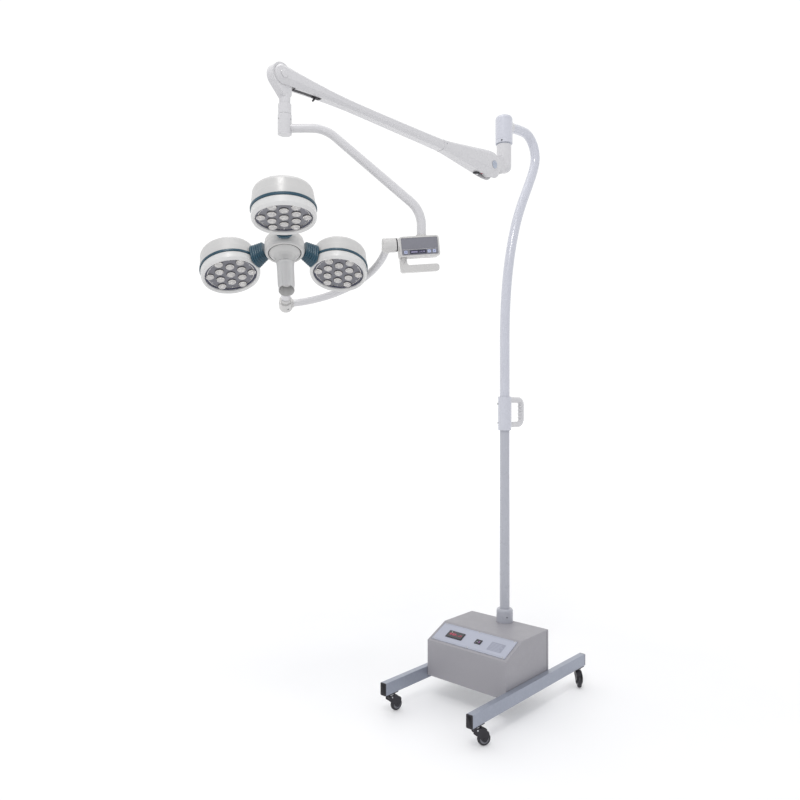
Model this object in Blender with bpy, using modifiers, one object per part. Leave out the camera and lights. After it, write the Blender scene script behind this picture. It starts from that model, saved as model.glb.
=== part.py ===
# Mobile surgical light: a castor base with a battery box, a gooseneck mast, a
# spring-balanced arm, a two-bow gimbal and a three-pod LED lamp head.
# Metres, +Z up.  The mast stands at MAST_XY; the arm points along -Y at rest.
import bpy
import bmesh
import math
from mathutils import Matrix, Vector

for old in list(bpy.data.objects):
    bpy.data.objects.remove(old, do_unlink=True)

# ------------------------------------------------------------------ dimensions
MAST_XY = (-0.0147, 0.5601)   # mast axis, seen from the object's ground centre
GAP = 0.0004                  # running and fitting gap between neighbours

# base
RAIL_OUT, RAIL_W, RAIL_H, RAIL_TOP = 0.2265, 0.028, 0.050, 0.126
RAIL_Y0, RAIL_Y1, RAIL_WALL = -0.538, 0.292, 0.0025
CAP_T = 0.004
BOX_HW, BOX_Y0, BOX_Y1 = 0.198, -0.2855, 0.0304
BOX_Z0, BOX_Z1 = 0.0915, 0.2926
SLOPE_Y, SLOPE_Z = -0.1691, 0.2394
SHEET = 0.002
# castors
WHEEL_R, WHEEL_W, TRAIL = 0.025, 0.019, 0.029
CASTOR_Y = (-0.500, 0.252)
CASTOR_TURN = {"fr": 54.0, "fl": 76.5, "rr": -49.0, "rl": -62.0}
# mast
MAST_R, TUBE_WALL = 0.021, 0.0025
SLEEVE_R, SLEEVE_Z = 0.029, (1.120, 1.266)
COLLAR_R, COLLAR_Z1 = 0.0355, 0.350
CAP_R, CAP_Z = 0.037, (2.3575, 2.484)
SWIVEL_Y = -0.006
NECK_R = 0.0315
# spring arm
REAR_PIVOT = (-0.120, 2.2365)
FRONT_PIVOT = (-1.226, 2.245)
REAR_CHEEK_R, FRONT_CHEEK_R = 0.054, 0.0295
SEAM_Y = -0.445
LINK_DROP = 0.0065
# lamp suspension
HEAD_Y = -1.205               # vertical axis of the bow bearing
BOW_TURN = 52.9               # heading of the bow plane about +Z, degrees
ELBOW_RISE = 5.5              # the elbow axis rises outwards by this, degrees
GIMBAL_Z = 1.710
BOW_S = 0.4316                # drop tube, out from the bearing axis
BOW_R0, BOW_R1 = 0.0130, 0.0148
INNER_BOW_R, INNER_TUBE_R = 0.322, 0.0125
# lamp head
HEAD_DIP, HEAD_ROLL = 22.4, 3.3
POD_CIRCLE, POD_CANT = 0.199, 8.3
POD_R, POD_BAND_R = 0.0915, 0.0944
HUB_R = 0.061

# ------------------------------------------------------------------ helpers
PARTS = bpy.data.collections.new("mobile_surgical_light")
CUTTERS = bpy.data.collections.new("cutters")
for made in (PARTS, CUTTERS):
    bpy.context.scene.collection.children.link(made)


def material(name, colour, rough, metal=0.0):
    made = bpy.data.materials.new(name)
    made.use_nodes = True
    shader = made.node_tree.nodes["Principled BSDF"]
    shader.inputs["Base Color"].default_value = (*colour, 1.0)
    shader.inputs["Roughness"].default_value = rough
    shader.inputs["Metallic"].default_value = metal
    made.diffuse_color = (*colour, 1.0)
    return made


PAINT_WHITE = ("white_enamel", (0.78, 0.78, 0.80), 0.35, 0.0)
PAINT_MAST = ("mast_enamel", (0.60, 0.61, 0.66), 0.38, 0.0)
PAINT_BOX = ("box_grey_texture", (0.33, 0.32, 0.35), 0.6, 0.0)
PANEL = ("panel_light_blue", (0.58, 0.61, 0.74), 0.45, 0.0)
RAIL = ("rail_silver", (0.60, 0.63, 0.70), 0.35, 0.3)
BLACK = ("black_plastic", (0.02, 0.02, 0.022), 0.5, 0.0)
STEEL = ("zinc_steel", (0.55, 0.56, 0.58), 0.3, 0.9)
TEAL = ("teal_rubber", (0.03, 0.10, 0.14), 0.55, 0.0)
HEAD_WHITE = ("lamp_shell_white", (0.66, 0.66, 0.65), 0.4, 0.0)
LENS = ("lens_plate", (0.45, 0.45, 0.46), 0.2, 0.0)
CONTROL = ("control_housing", (0.68, 0.66, 0.63), 0.45, 0.0)
KEY = ("key_blue", (0.45, 0.50, 0.70), 0.4, 0.0)
SCREEN = ("display_black", (0.01, 0.01, 0.012), 0.15, 0.0)
BATTERY = ("battery_case", (0.08, 0.08, 0.10), 0.6, 0.0)
TYRE = ("tyre_grey", (0.10, 0.10, 0.11), 0.6, 0.0)

ROOT = bpy.data.objects.new("light_root", None)
ROOT.location = (MAST_XY[0], MAST_XY[1], 0.0)
PARTS.objects.link(ROOT)


def empty(name, matrix, parent=ROOT):
    """An empty on a joint's axis; matrix is in the mast's frame."""
    made = bpy.data.objects.new(name, None)
    PARTS.objects.link(made)
    made.parent = parent
    made["frame"] = [list(row) for row in matrix]
    bpy.context.view_layer.update()
    made.matrix_world = Matrix.Translation(ROOT.location) @ matrix
    bpy.context.view_layer.update()
    return made


def at(y=0.0, z=0.0, x=0.0):
    return Matrix.Translation((x, y, z))


def basis(x, y, z, origin):
    made = Matrix.Identity(4)
    for col, axis in enumerate((x, y, z)):
        for row in range(3):
            made[row][col] = axis[row]
    made.translation = origin
    return made


def place(obj, matrix, parent=ROOT, finish=None, cutter=False):
    """Puts an object in the mast's frame, under its parent."""
    (CUTTERS if cutter else PARTS).objects.link(obj)
    if cutter:
        obj.hide_render = True
        obj.display_type = "WIRE"
    obj.parent = parent
    bpy.context.view_layer.update()
    obj.matrix_world = Matrix.Translation(ROOT.location) @ matrix
    if finish:
        obj.data.materials.append(material(obj.name + "_" + finish[0], *finish[1:]))
    return obj


def smooth(obj, angle=40.0):
    mesh = obj.data
    mesh.shade_smooth()
    mesh.set_sharp_from_angle(angle=math.radians(angle))


def mesh_object(name, build):
    mesh = bpy.data.meshes.new(name)
    work = bmesh.new()
    build(work)
    bmesh.ops.recalc_face_normals(work, faces=work.faces)
    work.to_mesh(mesh)
    work.free()
    return bpy.data.objects.new(name, mesh)


def box(name, low, high):
    def build(work):
        bmesh.ops.create_cube(work, size=1.0)
        mid = [(a + b) / 2 for a, b in zip(low, high)]
        size = [b - a for a, b in zip(low, high)]
        for v in work.verts:
            v.co = Vector(m + s * c for m, s, c in zip(mid, size, v.co))
    return mesh_object(name, build)


def rod(name, radius, start, end, sides=20, radius2=None):
    """A cylinder or cone between two points."""
    start, end = Vector(start), Vector(end)
    run = end - start
    turn = run.to_track_quat("Z", "Y").to_matrix().to_4x4()
    frame = Matrix.Translation((start + end) / 2) @ turn

    def build(work):
        bmesh.ops.create_cone(work, cap_ends=True, segments=sides, radius1=radius,
                              radius2=radius if radius2 is None else radius2,
                              depth=run.length, matrix=frame)
    made = mesh_object(name, build)
    smooth(made)
    return made


def turned(name, profile, steps=24, loop=False):
    """A profile of (radius, height), run down its outer side, turned about Z."""
    mesh = bpy.data.meshes.new(name)
    count = len(profile)
    edges = [(i, i + 1) for i in range(count - 1)] + ([(count - 1, 0)] if loop else [])
    mesh.from_pydata([(r, 0.0, z) for r, z in profile], edges, [])
    made = bpy.data.objects.new(name, mesh)
    screw = made.modifiers.new("turn", "SCREW")
    screw.axis = "Z"
    screw.angle = 2 * math.pi
    screw.steps = screw.render_steps = steps
    screw.use_merge_vertices = True
    screw.merge_threshold = 0.00002
    screw.use_smooth_shade = True
    return made


def curve_object(name, kind="3D"):
    data = bpy.data.curves.new(name, "CURVE")
    data.dimensions = kind
    return bpy.data.objects.new(name, data)


def tube(name, points, radius, sides=2, radii=None):
    """A round bar along a polyline: a curve with a bevel and filled caps."""
    made = curve_object(name)
    data = made.data
    data.bevel_depth = radius
    data.bevel_resolution = sides
    data.use_fill_caps = True
    line = data.splines.new("POLY")
    line.points.add(len(points) - 1)
    for i, p in enumerate(points):
        line.points[i].co = (*p, 1.0)
        if radii:
            line.points[i].radius = radii[i] / radius
    line.use_smooth = True
    return made


def outline(name, points, half):
    """A flat outline in XY, extruded by half its thickness each way."""
    made = curve_object(name, "2D")
    data = made.data
    data.fill_mode = "BOTH"
    data.extrude = half
    line = data.splines.new("POLY")
    line.points.add(len(points) - 1)
    for i, p in enumerate(points):
        line.points[i].co = (p[0], p[1], 0.0, 1.0)
    line.use_cyclic_u = True
    return made


def as_mesh(obj):
    """The curve as a welded mesh, in place of the curve."""
    keep, frame, parent = obj.name, obj.matrix_world.copy(), obj.parent
    homes = list(obj.users_collection)
    if not homes:
        bpy.context.scene.collection.objects.link(obj)
    bpy.context.view_layer.update()
    graph = bpy.context.evaluated_depsgraph_get()
    mesh = bpy.data.meshes.new_from_object(obj.evaluated_get(graph))
    work = bmesh.new()
    work.from_mesh(mesh)
    bmesh.ops.remove_doubles(work, verts=work.verts, dist=0.00002)
    bmesh.ops.recalc_face_normals(work, faces=work.faces)
    work.to_mesh(mesh)
    work.free()
    bpy.data.objects.remove(obj, do_unlink=True)
    made = bpy.data.objects.new(keep, mesh)
    made.name = keep
    made.matrix_world = frame
    smooth(made)
    return made


def cut(obj, other, how="DIFFERENCE"):
    step = obj.modifiers.new(how.lower() + "_" + other.name, "BOOLEAN")
    step.operation = how
    step.object = other
    step.solver = "EXACT"
    return step


def helper(obj, like, frame=None):
    """Places a cutter or a joined shape in the frame of the object it serves."""
    base = frame if frame is not None else Matrix.Translation(-ROOT.location) @ like.matrix_world
    place(obj, base, parent=like.parent, cutter=True)
    return obj


def bevel(obj, width, segments=1, angle=35.0):
    step = obj.modifiers.new("edges", "BEVEL")
    step.width = width
    step.segments = segments
    step.limit_method = "ANGLE"
    step.angle_limit = math.radians(angle)
    return step


def filleted(points, radii, arc_steps=8):
    """A polyline whose inner corners are rounded to the given radii."""
    pts = [Vector(p) for p in points]
    out = [pts[0]]
    for i in range(1, len(pts) - 1):
        a, b, c = pts[i - 1], pts[i], pts[i + 1]
        u, v = (a - b).normalized(), (c - b).normalized()
        half = u.angle(v) / 2
        reach = radii[i - 1] / math.tan(half)
        centre = b + (u + v).normalized() * (radii[i - 1] / math.sin(half))
        start, end = b + u * reach - centre, b + v * reach - centre
        total = start.angle(end)
        for k in range(arc_steps + 1):
            t = k / arc_steps
            out.append(centre + (start * math.sin((1 - t) * total)
                                 + end * math.sin(t * total)) / math.sin(total))
    out.append(pts[-1])
    return out


def bezier_points(knots, steps):
    """Points on a chain of cubic arcs; each knot is (point, in-handle, out-handle)."""
    out = []
    for (p0, _, h0), (p1, h1, _) in zip(knots, knots[1:]):
        p0, h0, h1, p1 = map(Vector, (p0, h0, h1, p1))
        for k in range(steps):
            t = k / steps
            s = 1 - t
            out.append(s * s * s * p0 + 3 * s * s * t * h0 + 3 * s * t * t * h1 + t * t * t * p1)
    out.append(Vector(knots[-1][0]))
    return out


def section(half_w, half_h, power, count):
    """A rounded rectangle as a superellipse, in (x, z)."""
    ring = []
    for k in range(count):
        a = 2 * math.pi * k / count
        c, s = math.cos(a), math.sin(a)
        ring.append((half_w * math.copysign(abs(c) ** (2 / power), c),
                     half_h * math.copysign(abs(s) ** (2 / power), s)))
    return ring


def lofted(name, rings, cap_start=True, cap_end=True):
    """Skins a row of equal rings of points."""
    def build(work):
        rows = [[work.verts.new(p) for p in ring] for ring in rings]
        count = len(rows[0])
        for a, b in zip(rows, rows[1:]):
            for k in range(count):
                work.faces.new((a[k], a[(k + 1) % count], b[(k + 1) % count], b[k]))
        if cap_start:
            work.faces.new(rows[0])
        if cap_end:
            work.faces.new(rows[-1])
    made = mesh_object(name, build)
    smooth(made, 50)
    return made


def belt(c0, r0, c1, r1, steps=9):
    """The outline round two circles, as points in their plane."""
    c0, c1 = Vector(c0), Vector(c1)
    run = c1 - c0
    face = math.atan2(run.y, run.x)
    lean = math.acos(max(-1.0, min(1.0, (r0 - r1) / run.length)))
    pts = []
    for k in range(steps + 1):
        a = face + lean + (2 * math.pi - 2 * lean) * k / steps
        pts.append((c0.x + r0 * math.cos(a), c0.y + r0 * math.sin(a)))
    for k in range(steps + 1):
        a = face - lean + 2 * lean * k / steps
        pts.append((c1.x + r1 * math.cos(a), c1.y + r1 * math.sin(a)))
    return pts


# An outline drawn in (y, z) is stood up by this frame, its thickness along X.
SIDE = basis((0, 1, 0), (0, 0, 1), (1, 0, 0), (0, 0, 0))

# ------------------------------------------------------------------ base frame
rail_mid = RAIL_OUT - RAIL_W / 2
rail_z0 = RAIL_TOP - RAIL_H
for side, sign in (("left", -1), ("right", 1)):
    x = sign * rail_mid
    rail = box(side + "_rail", (x - RAIL_W / 2, RAIL_Y0, rail_z0),
               (x + RAIL_W / 2, RAIL_Y1, RAIL_TOP))
    place(rail, at(), finish=RAIL)
    bore = box(side + "_rail_bore", (x - RAIL_W / 2 + RAIL_WALL, RAIL_Y0 - 0.01, rail_z0 + RAIL_WALL),
               (x + RAIL_W / 2 - RAIL_WALL, RAIL_Y1 + 0.01, RAIL_TOP - RAIL_WALL))
    helper(bore, rail)
    cut(rail, bore)
    for n, y in enumerate(CASTOR_Y):
        plate = box(f"{side}_castor_plate_{n}", (x - 0.0135, y - 0.034, rail_z0 - 0.0034),
                    (x + 0.0135, y + 0.034, rail_z0 + 0.0015))
        helper(plate, rail)
        cut(rail, plate, "UNION")
    for end, y, way in (("front", RAIL_Y0, -1), ("rear", RAIL_Y1, 1)):
        lows = sorted((y + way * GAP, y + way * CAP_T))
        cap = box(f"{side}_{end}_rail_cap", (x - RAIL_W / 2, lows[0], rail_z0),
                  (x + RAIL_W / 2, lows[1], RAIL_TOP))
        place(cap, at(), finish=BLACK)
        lows = sorted((y + way * 0.002, y - way * 0.014))
        plug = box(f"{side}_{end}_cap_plug", (x - RAIL_W / 2 + RAIL_WALL + GAP, lows[0], rail_z0 + RAIL_WALL + GAP),
                   (x + RAIL_W / 2 - RAIL_WALL - GAP, lows[1], RAIL_TOP - RAIL_WALL - GAP))
        helper(plug, cap)
        cut(cap, plug, "UNION")

# base pan: a thick steel tray between the rails, with upturned flanges
inner = BOX_HW - SHEET - GAP
PAN_T = 0.010
pan = box("base_pan", (-inner, BOX_Y0 + SHEET + GAP, BOX_Z0),
          (inner, BOX_Y1 - SHEET - GAP, BOX_Z0 + PAN_T))
place(pan, at(), finish=STEEL)
for sign in (-1, 1):
    lows = sorted((sign * inner, sign * (inner - 0.003)))
    lip = box("pan_flange_" + ("l" if sign < 0 else "r"),
              (lows[0], BOX_Y0 + 0.03, BOX_Z0 + 0.001), (lows[1], BOX_Y1 - 0.03, BOX_Z0 + 0.036))
    helper(lip, pan)
    cut(pan, lip, "UNION")

# box cover: one folded sheet shell, open below
cover_pts = [(BOX_Y0, BOX_Z0), (BOX_Y0, SLOPE_Z), (SLOPE_Y, BOX_Z1), (BOX_Y1, BOX_Z1), (BOX_Y1, BOX_Z0)]


def cover_shell(work):
    left = [work.verts.new((-BOX_HW, y, z)) for y, z in cover_pts]
    right = [work.verts.new((BOX_HW, y, z)) for y, z in cover_pts]
    work.faces.new(left)
    work.faces.new(right[::-1])
    for k in range(len(cover_pts) - 1):
        work.faces.new((left[k], right[k], right[k + 1], left[k + 1]))


cover = mesh_object("box_cover", cover_shell)
place(cover, at(), finish=PAINT_BOX)
wall = cover.modifiers.new("sheet", "SOLIDIFY")
wall.thickness = SHEET
wall.offset = -1.0
wall.use_even_offset = True
mast_hole = rod("cover_mast_hole", MAST_R + 0.0006, (0, 0, BOX_Z1 - 0.02), (0, 0, BOX_Z1 + 0.02), 24)
helper(mast_hole, cover)
cut(cover, mast_hole)

# the sloped front: a frame on its surface, X to the right, Y up the slope
slope_run = Vector((0, SLOPE_Y - BOX_Y0, BOX_Z1 - SLOPE_Z)).normalized()
slope_out = Vector((1, 0, 0)).cross(slope_run)
slope_mid = Vector((0, (SLOPE_Y + BOX_Y0) / 2, (BOX_Z1 + SLOPE_Z) / 2))
SLOPE = basis((1, 0, 0), slope_run, slope_out, slope_mid)
ROCKER_U, ROCKER_V = 0.028, -0.004
panel = box("control_panel", (-0.184, -0.052, GAP), (0.184, 0.052, 0.0020))
place(panel, SLOPE, finish=PANEL)
for target, depth in ((panel, 0.01), (cover, 0.01)):
    hole = box(target.name + "_rocker_hole", (ROCKER_U - 0.0112, ROCKER_V - 0.0082, -depth),
               (ROCKER_U + 0.0112, ROCKER_V + 0.0082, depth))
    helper(hole, target, SLOPE)
    cut(target, hole)
display = box("display_window", (-0.128, -0.020, 0.0020 + GAP), (-0.052, 0.014, 0.0052))
place(display, SLOPE, finish=SCREEN)
bevel(display, 0.0012)

rocker_axis = SLOPE @ Matrix.Translation((ROCKER_U, ROCKER_V, -0.0010))
rocker_pivot = empty("rocker_pivot", rocker_axis)
rocker = as_mesh(outline("rocker_switch", [(-0.0100, -0.0060), (-0.0100, 0.0044), (0.0, 0.0030),
                                           (0.0100, 0.0064), (0.0100, -0.0060)], 0.0072))
# outline drawn in (x along the slope, out of the slope), thickness up the slope
place(rocker, rocker_axis @ basis((1, 0, 0), (0, 0, 1), (0, -1, 0), (0, 0, 0)), parent=rocker_pivot, finish=BLACK)

battery = box("battery_pack", (-0.180, -0.250, BOX_Z0 + PAN_T + GAP), (0.030, -0.120, 0.205))
place(battery, at(), finish=BATTERY)
bevel(battery, 0.003)
charger = box("charger_unit", (0.055, -0.250, BOX_Z0 + PAN_T + GAP), (0.180, -0.100, 0.165))
place(charger, at(), finish=STEEL)
bevel(charger, 0.002)

inlet = box("mains_inlet", (-0.110, BOX_Y1 + GAP, 0.128), (-0.060, BOX_Y1 + 0.0035, 0.160))
place(inlet, at(), finish=BLACK)
inlet_body = box("inlet_body", (-0.0985, BOX_Y1 - 0.020, 0.133), (-0.0715, BOX_Y1 + 0.002, 0.155))
helper(inlet_body, inlet)
cut(inlet, inlet_body, "UNION")
inlet_mouth = box("inlet_mouth", (-0.0960, BOX_Y1 - 0.016, 0.1355), (-0.0740, BOX_Y1 + 0.010, 0.1525))
helper(inlet_mouth, inlet)
cut(inlet, inlet_mouth)
inlet_hole = box("inlet_hole", (-0.0990, BOX_Y1 - 0.012, 0.1325), (-0.0710, BOX_Y1 + 0.012, 0.1555))
helper(inlet_hole, cover)
cut(cover, inlet_hole)

# ------------------------------------------------------------------ castors
STEM_TOP = rail_z0 - 0.0034 - GAP
for tag, sign, y in (("fr", 1, CASTOR_Y[0]), ("fl", -1, CASTOR_Y[0]),
                     ("rr", 1, CASTOR_Y[1]), ("rl", -1, CASTOR_Y[1])):
    frame = Matrix.Translation((sign * rail_mid, y, 0)) @ Matrix.Rotation(math.radians(CASTOR_TURN[tag]), 4, "Z")
    swivel = empty("castor_swivel_" + tag, frame)
    fork = rod("castor_fork_" + tag, 0.0130, (0, 0, STEM_TOP - 0.009), (0, 0, STEM_TOP), 16)
    place(fork, frame, parent=swivel, finish=BLACK)
    # crown and two cheeks down to the axle, drawn in (x, z)
    legs = [(-0.012, STEM_TOP - 0.0170), (-0.012, STEM_TOP - 0.0070), (0.020, STEM_TOP - 0.0070),
            (0.040, STEM_TOP - 0.022), (0.0365, 0.0180), (0.0225, 0.0180), (0.0140, 0.0400)]
    solid = as_mesh(outline("castor_legs_" + tag, legs, WHEEL_W / 2 + 0.0032))
    helper(solid, fork, frame @ basis((1, 0, 0), (0, 0, 1), (0, -1, 0), (0, 0, 0)))
    cut(fork, solid, "UNION")
    room = rod("castor_room_" + tag, WHEEL_R + 0.0018, (TRAIL, -WHEEL_W / 2 - 0.0008, WHEEL_R),
               (TRAIL, WHEEL_W / 2 + 0.0008, WHEEL_R), 28)
    helper(room, fork, frame)
    cut(fork, room)
    below = box("castor_below_" + tag, (-0.02, -WHEEL_W / 2 - 0.0008, -0.01), (0.06, WHEEL_W / 2 + 0.0008, WHEEL_R))
    helper(below, fork, frame)
    cut(fork, below)
    axle = rod("castor_axle_" + tag, 0.0040, (TRAIL, -WHEEL_W / 2 - 0.0045, WHEEL_R),
               (TRAIL, WHEEL_W / 2 + 0.0045, WHEEL_R), 10)
    helper(axle, fork, frame)
    cut(fork, axle, "UNION")
    wheel_frame = frame @ Matrix.Translation((TRAIL, 0, WHEEL_R)) @ Matrix.Rotation(math.radians(-90), 4, "X")
    spin = empty("castor_spin_" + tag, wheel_frame, swivel)
    h = WHEEL_W / 2
    wheel = turned("castor_wheel_" + tag, [
        (0.0046, h - 0.0008), (0.0222, h - 0.0008), (WHEEL_R, h - 0.0045),
        (WHEEL_R, -h + 0.0045), (0.0222, -h + 0.0008), (0.0046, -h + 0.0008)],
        16, loop=True)
    place(wheel, wheel_frame, parent=spin, finish=TYRE)

# ------------------------------------------------------------------ mast
collar = turned("mast_collar", [(MAST_R + 0.0005, COLLAR_Z1), (0.0290, COLLAR_Z1), (COLLAR_R - 0.002, COLLAR_Z1 - 0.004),
                                (COLLAR_R, COLLAR_Z1 - 0.010), (COLLAR_R, BOX_Z1 + GAP), (MAST_R + 0.0005, BOX_Z1 + GAP)],
                24, loop=True)
place(collar, at(), finish=PAINT_MAST)
MAST_SPLIT = 1.190
lower = turned("lower_mast", [(MAST_R - TUBE_WALL, MAST_SPLIT), (MAST_R, MAST_SPLIT), (MAST_R, BOX_Z0 + PAN_T + GAP),
                              (MAST_R - TUBE_WALL, BOX_Z0 + PAN_T + GAP)], 24, loop=True)
place(lower, at(), finish=PAINT_MAST)
sleeve = turned("clamp_sleeve", [(MAST_R + 0.0005, SLEEVE_Z[1]), (SLEEVE_R - 0.002, SLEEVE_Z[1]), (SLEEVE_R, SLEEVE_Z[1] - 0.002),
                                 (SLEEVE_R, SLEEVE_Z[0] + 0.002), (SLEEVE_R - 0.002, SLEEVE_Z[0]), (MAST_R + 0.0005, SLEEVE_Z[0])],
                24, loop=True)
place(sleeve, at(), finish=PAINT_MAST)
for n, z in enumerate((1.235, 1.152)):
    screw = rod(f"sleeve_screw_{n}", 0.0042, (-SLEEVE_R * 0.83 + 0.004, -SLEEVE_R * 0.55 + 0.003, z),
                (-SLEEVE_R * 0.83 - 0.0025, -SLEEVE_R * 0.55 - 0.0017, z), 10)
    helper(screw, sleeve)
    cut(sleeve, screw, "UNION")

HANDLE_Z, HANDLE_Y, HANDLE_R = (1.1435, 1.2515), 0.1290, 0.0130
grip_path = filleted([(0, SLEEVE_R + GAP, HANDLE_Z[1]), (0, HANDLE_Y, HANDLE_Z[1]), (0, HANDLE_Y, HANDLE_Z[0]),
                      (0, SLEEVE_R + GAP, HANDLE_Z[0])], [0.024, 0.024], 5)
push = as_mesh(tube("push_handle", grip_path, HANDLE_R, 2))
place(push, at(), finish=PAINT_WHITE)
foot = rod("handle_clearance", SLEEVE_R + GAP, (0, 0, 1.08), (0, 0, 1.32), 28)
helper(foot, push)
cut(push, foot)

# gooseneck: straight out of the sleeve, leaning back, then over into the head cap
TOP_END = (0.0, 0.0160, 2.4405)
lean = Vector((0, 0.351, 0.936))
knee = Vector((0, 0.0834, 2.0185))
goose_knots = [
    ((0, 0, 1.500), None, (0, 0, 1.700)),
    (knee, knee - lean * 0.17, knee + lean * 0.15),
    ((0, 0.248, 2.3600), (0, 0.248, 2.290), (0, 0.248, 2.412)),
    ((0, 0.155, 2.4540), (0, 0.205, 2.4540), (0, 0.115, 2.4540)),
    (TOP_END, (0, 0.066, 2.4476), None),
]
goose_path = [Vector((0, 0, MAST_SPLIT + 0.001))] + bezier_points(goose_knots, 5)
goose = curve_object("gooseneck")
goose.data.bevel_depth = MAST_R
goose.data.bevel_resolution = 2
goose_line = goose.data.splines.new("POLY")
goose_line.points.add(len(goose_path) - 1)
for i, p in enumerate(goose_path):
    goose_line.points[i].co = (*p, 1.0)
goose_line.use_smooth = True
goose = as_mesh(goose)
place(goose, at(), finish=PAINT_WHITE)
goose_wall = goose.modifiers.new("tube_wall", "SOLIDIFY")
goose_wall.thickness = TUBE_WALL
goose_wall.offset = -1.0

SPINDLE_R, SPINDLE_TOP = 0.018, 2.402
head_cap = turned("mast_head_cap", [
    (0.0, CAP_Z[1]), (0.022, CAP_Z[1] - 0.0005), (0.0320, CAP_Z[1] - 0.0035), (0.0360, CAP_Z[1] - 0.0085), (CAP_R, CAP_Z[1] - 0.016),
    (CAP_R, CAP_Z[0] + 0.0015), (CAP_R - 0.0015, CAP_Z[0]), (SPINDLE_R + 0.0005, CAP_Z[0]),
    (SPINDLE_R + 0.0005, SPINDLE_TOP + 0.001), (0.0, SPINDLE_TOP + 0.001)], 24)
place(head_cap, at(SWIVEL_Y), finish=PAINT_WHITE)
neck_dir = (Vector(TOP_END) - Vector((0, 0.066, 2.4476))).normalized()
socket_end = Vector(TOP_END) + neck_dir * 0.001
socket = rod("cap_socket", MAST_R + 0.0005, socket_end, socket_end - neck_dir * 0.08, 24)
helper(socket, head_cap, at())
cut(head_cap, socket)

# ------------------------------------------------------------------ spring arm
arm_swivel = empty("arm_swivel_axis", at(SWIVEL_Y, CAP_Z[0]))
TONGUE = 0.0188
knuckle = turned("swivel_knuckle", [
    (0.0, SPINDLE_TOP), (SPINDLE_R, SPINDLE_TOP), (SPINDLE_R, CAP_Z[0] - 0.004), (NECK_R, CAP_Z[0] - GAP - 0.0002),
    (NECK_R, 2.262), (0.0290, 2.250), (0.0230, 2.240), (0.0120, 2.2345), (0.0, 2.233)], 24)
knuckle.data.vertices[2].co = (SPINDLE_R, 0, CAP_Z[0] - GAP - 0.0002)
place(knuckle, at(SWIVEL_Y), parent=arm_swivel, finish=PAINT_WHITE)
tongue = as_mesh(outline("knuckle_tongue", belt((REAR_PIVOT[0], REAR_PIVOT[1]), 0.0440, (SWIVEL_Y, 2.2660), 0.0285), TONGUE))
helper(tongue, knuckle, SIDE)
cut(knuckle, tongue, "UNION")
rear_bore = rod("rear_pin_bore", 0.0085, (-0.05, REAR_PIVOT[0], REAR_PIVOT[1]), (0.05, REAR_PIVOT[0], REAR_PIVOT[1]), 16)
helper(rear_bore, knuckle, at())
cut(knuckle, rear_bore)

arm_tilt = empty("arm_tilt_axis", at(REAR_PIVOT[0], REAR_PIVOT[1]), arm_swivel)


def arm_ring(y, mid, half_w, half_h, power=2.8, count=14):
    return [(x, y, mid + z) for x, z in section(half_w, half_h, power, count)]


def arm_mid(y):
    t = (REAR_PIVOT[0] - y) / (REAR_PIVOT[0] - FRONT_PIVOT[0])
    return REAR_PIVOT[1] + (FRONT_PIVOT[1] - REAR_PIVOT[1]) * max(0.0, min(1.0, t)) ** 2


rear_rings = [arm_ring(REAR_PIVOT[0] + REAR_CHEEK_R * math.sin(math.radians(a)), REAR_PIVOT[1],
                       0.030 - 0.004 * (a / 80.0) ** 3, REAR_CHEEK_R * math.cos(math.radians(a)), 4.0)
              for a in (80, 60, 38, 18, 0)]
for y, w, h, power in ((-0.150, 0.0300, 0.0535, 4.0), (-0.205, 0.0295, 0.0470, 3.8), (-0.275, 0.0282, 0.0383, 3.6),
                       (-0.350, 0.0258, 0.0290, 3.2), (-0.410, 0.0230, 0.0223, 3.0), (SEAM_Y + 0.0003, 0.0217, 0.0196, 2.8)):
    rear_rings.append(arm_ring(y, arm_mid(y), w, h, power))
rear_cover = lofted("arm_rear_cover", rear_rings, cap_end=False)
place(rear_cover, at(), parent=arm_tilt, finish=PAINT_WHITE)

front_rings = []
for y, w, h, power in ((SEAM_Y - 0.0003, 0.0213, 0.0192, 2.8), (-0.560, 0.0203, 0.0174, 2.8), (-0.700, 0.0195, 0.0161, 2.8),
                       (-0.830, 0.0188, 0.0150, 2.8), (-0.925, 0.0186, 0.0146, 2.8), (-1.000, 0.0195, 0.0160, 2.8),
                       (-1.060, 0.0210, 0.0184, 3.0), (-1.120, 0.0226, 0.0217, 3.2), (-1.180, 0.0240, 0.0262, 3.6)):
    front_rings.append(arm_ring(y, arm_mid(y), w, h, power))
for a in (0, 22, 45, 65, 80):
    front_rings.append(arm_ring(FRONT_PIVOT[0] - FRONT_CHEEK_R * math.sin(math.radians(a)), FRONT_PIVOT[1],
                                0.0245 - 0.003 * (a / 80.0) ** 3, FRONT_CHEEK_R * math.cos(math.radians(a)), 4.0))
front_cover = lofted("arm_front_tube", front_rings, cap_start=False)
place(front_cover, at(), parent=arm_tilt, finish=PAINT_WHITE)
for shell in (rear_cover, front_cover):
    wall = shell.modifiers.new("shell_wall", "SOLIDIFY")
    wall.thickness = 0.0025
    wall.offset = -1.0
rear_slot = box("rear_slot", (-0.0194, -0.188, 2.13), (0.0194, -0.050, 2.34))
helper(rear_slot, rear_cover)
cut(rear_cover, rear_slot)
FRONT_TONGUE = 0.0150
front_slot = box("front_slot", (-0.0156, -1.300, 2.17), (0.0156, -1.172, 2.32))
helper(front_slot, front_cover)
cut(front_cover, front_slot)


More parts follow.
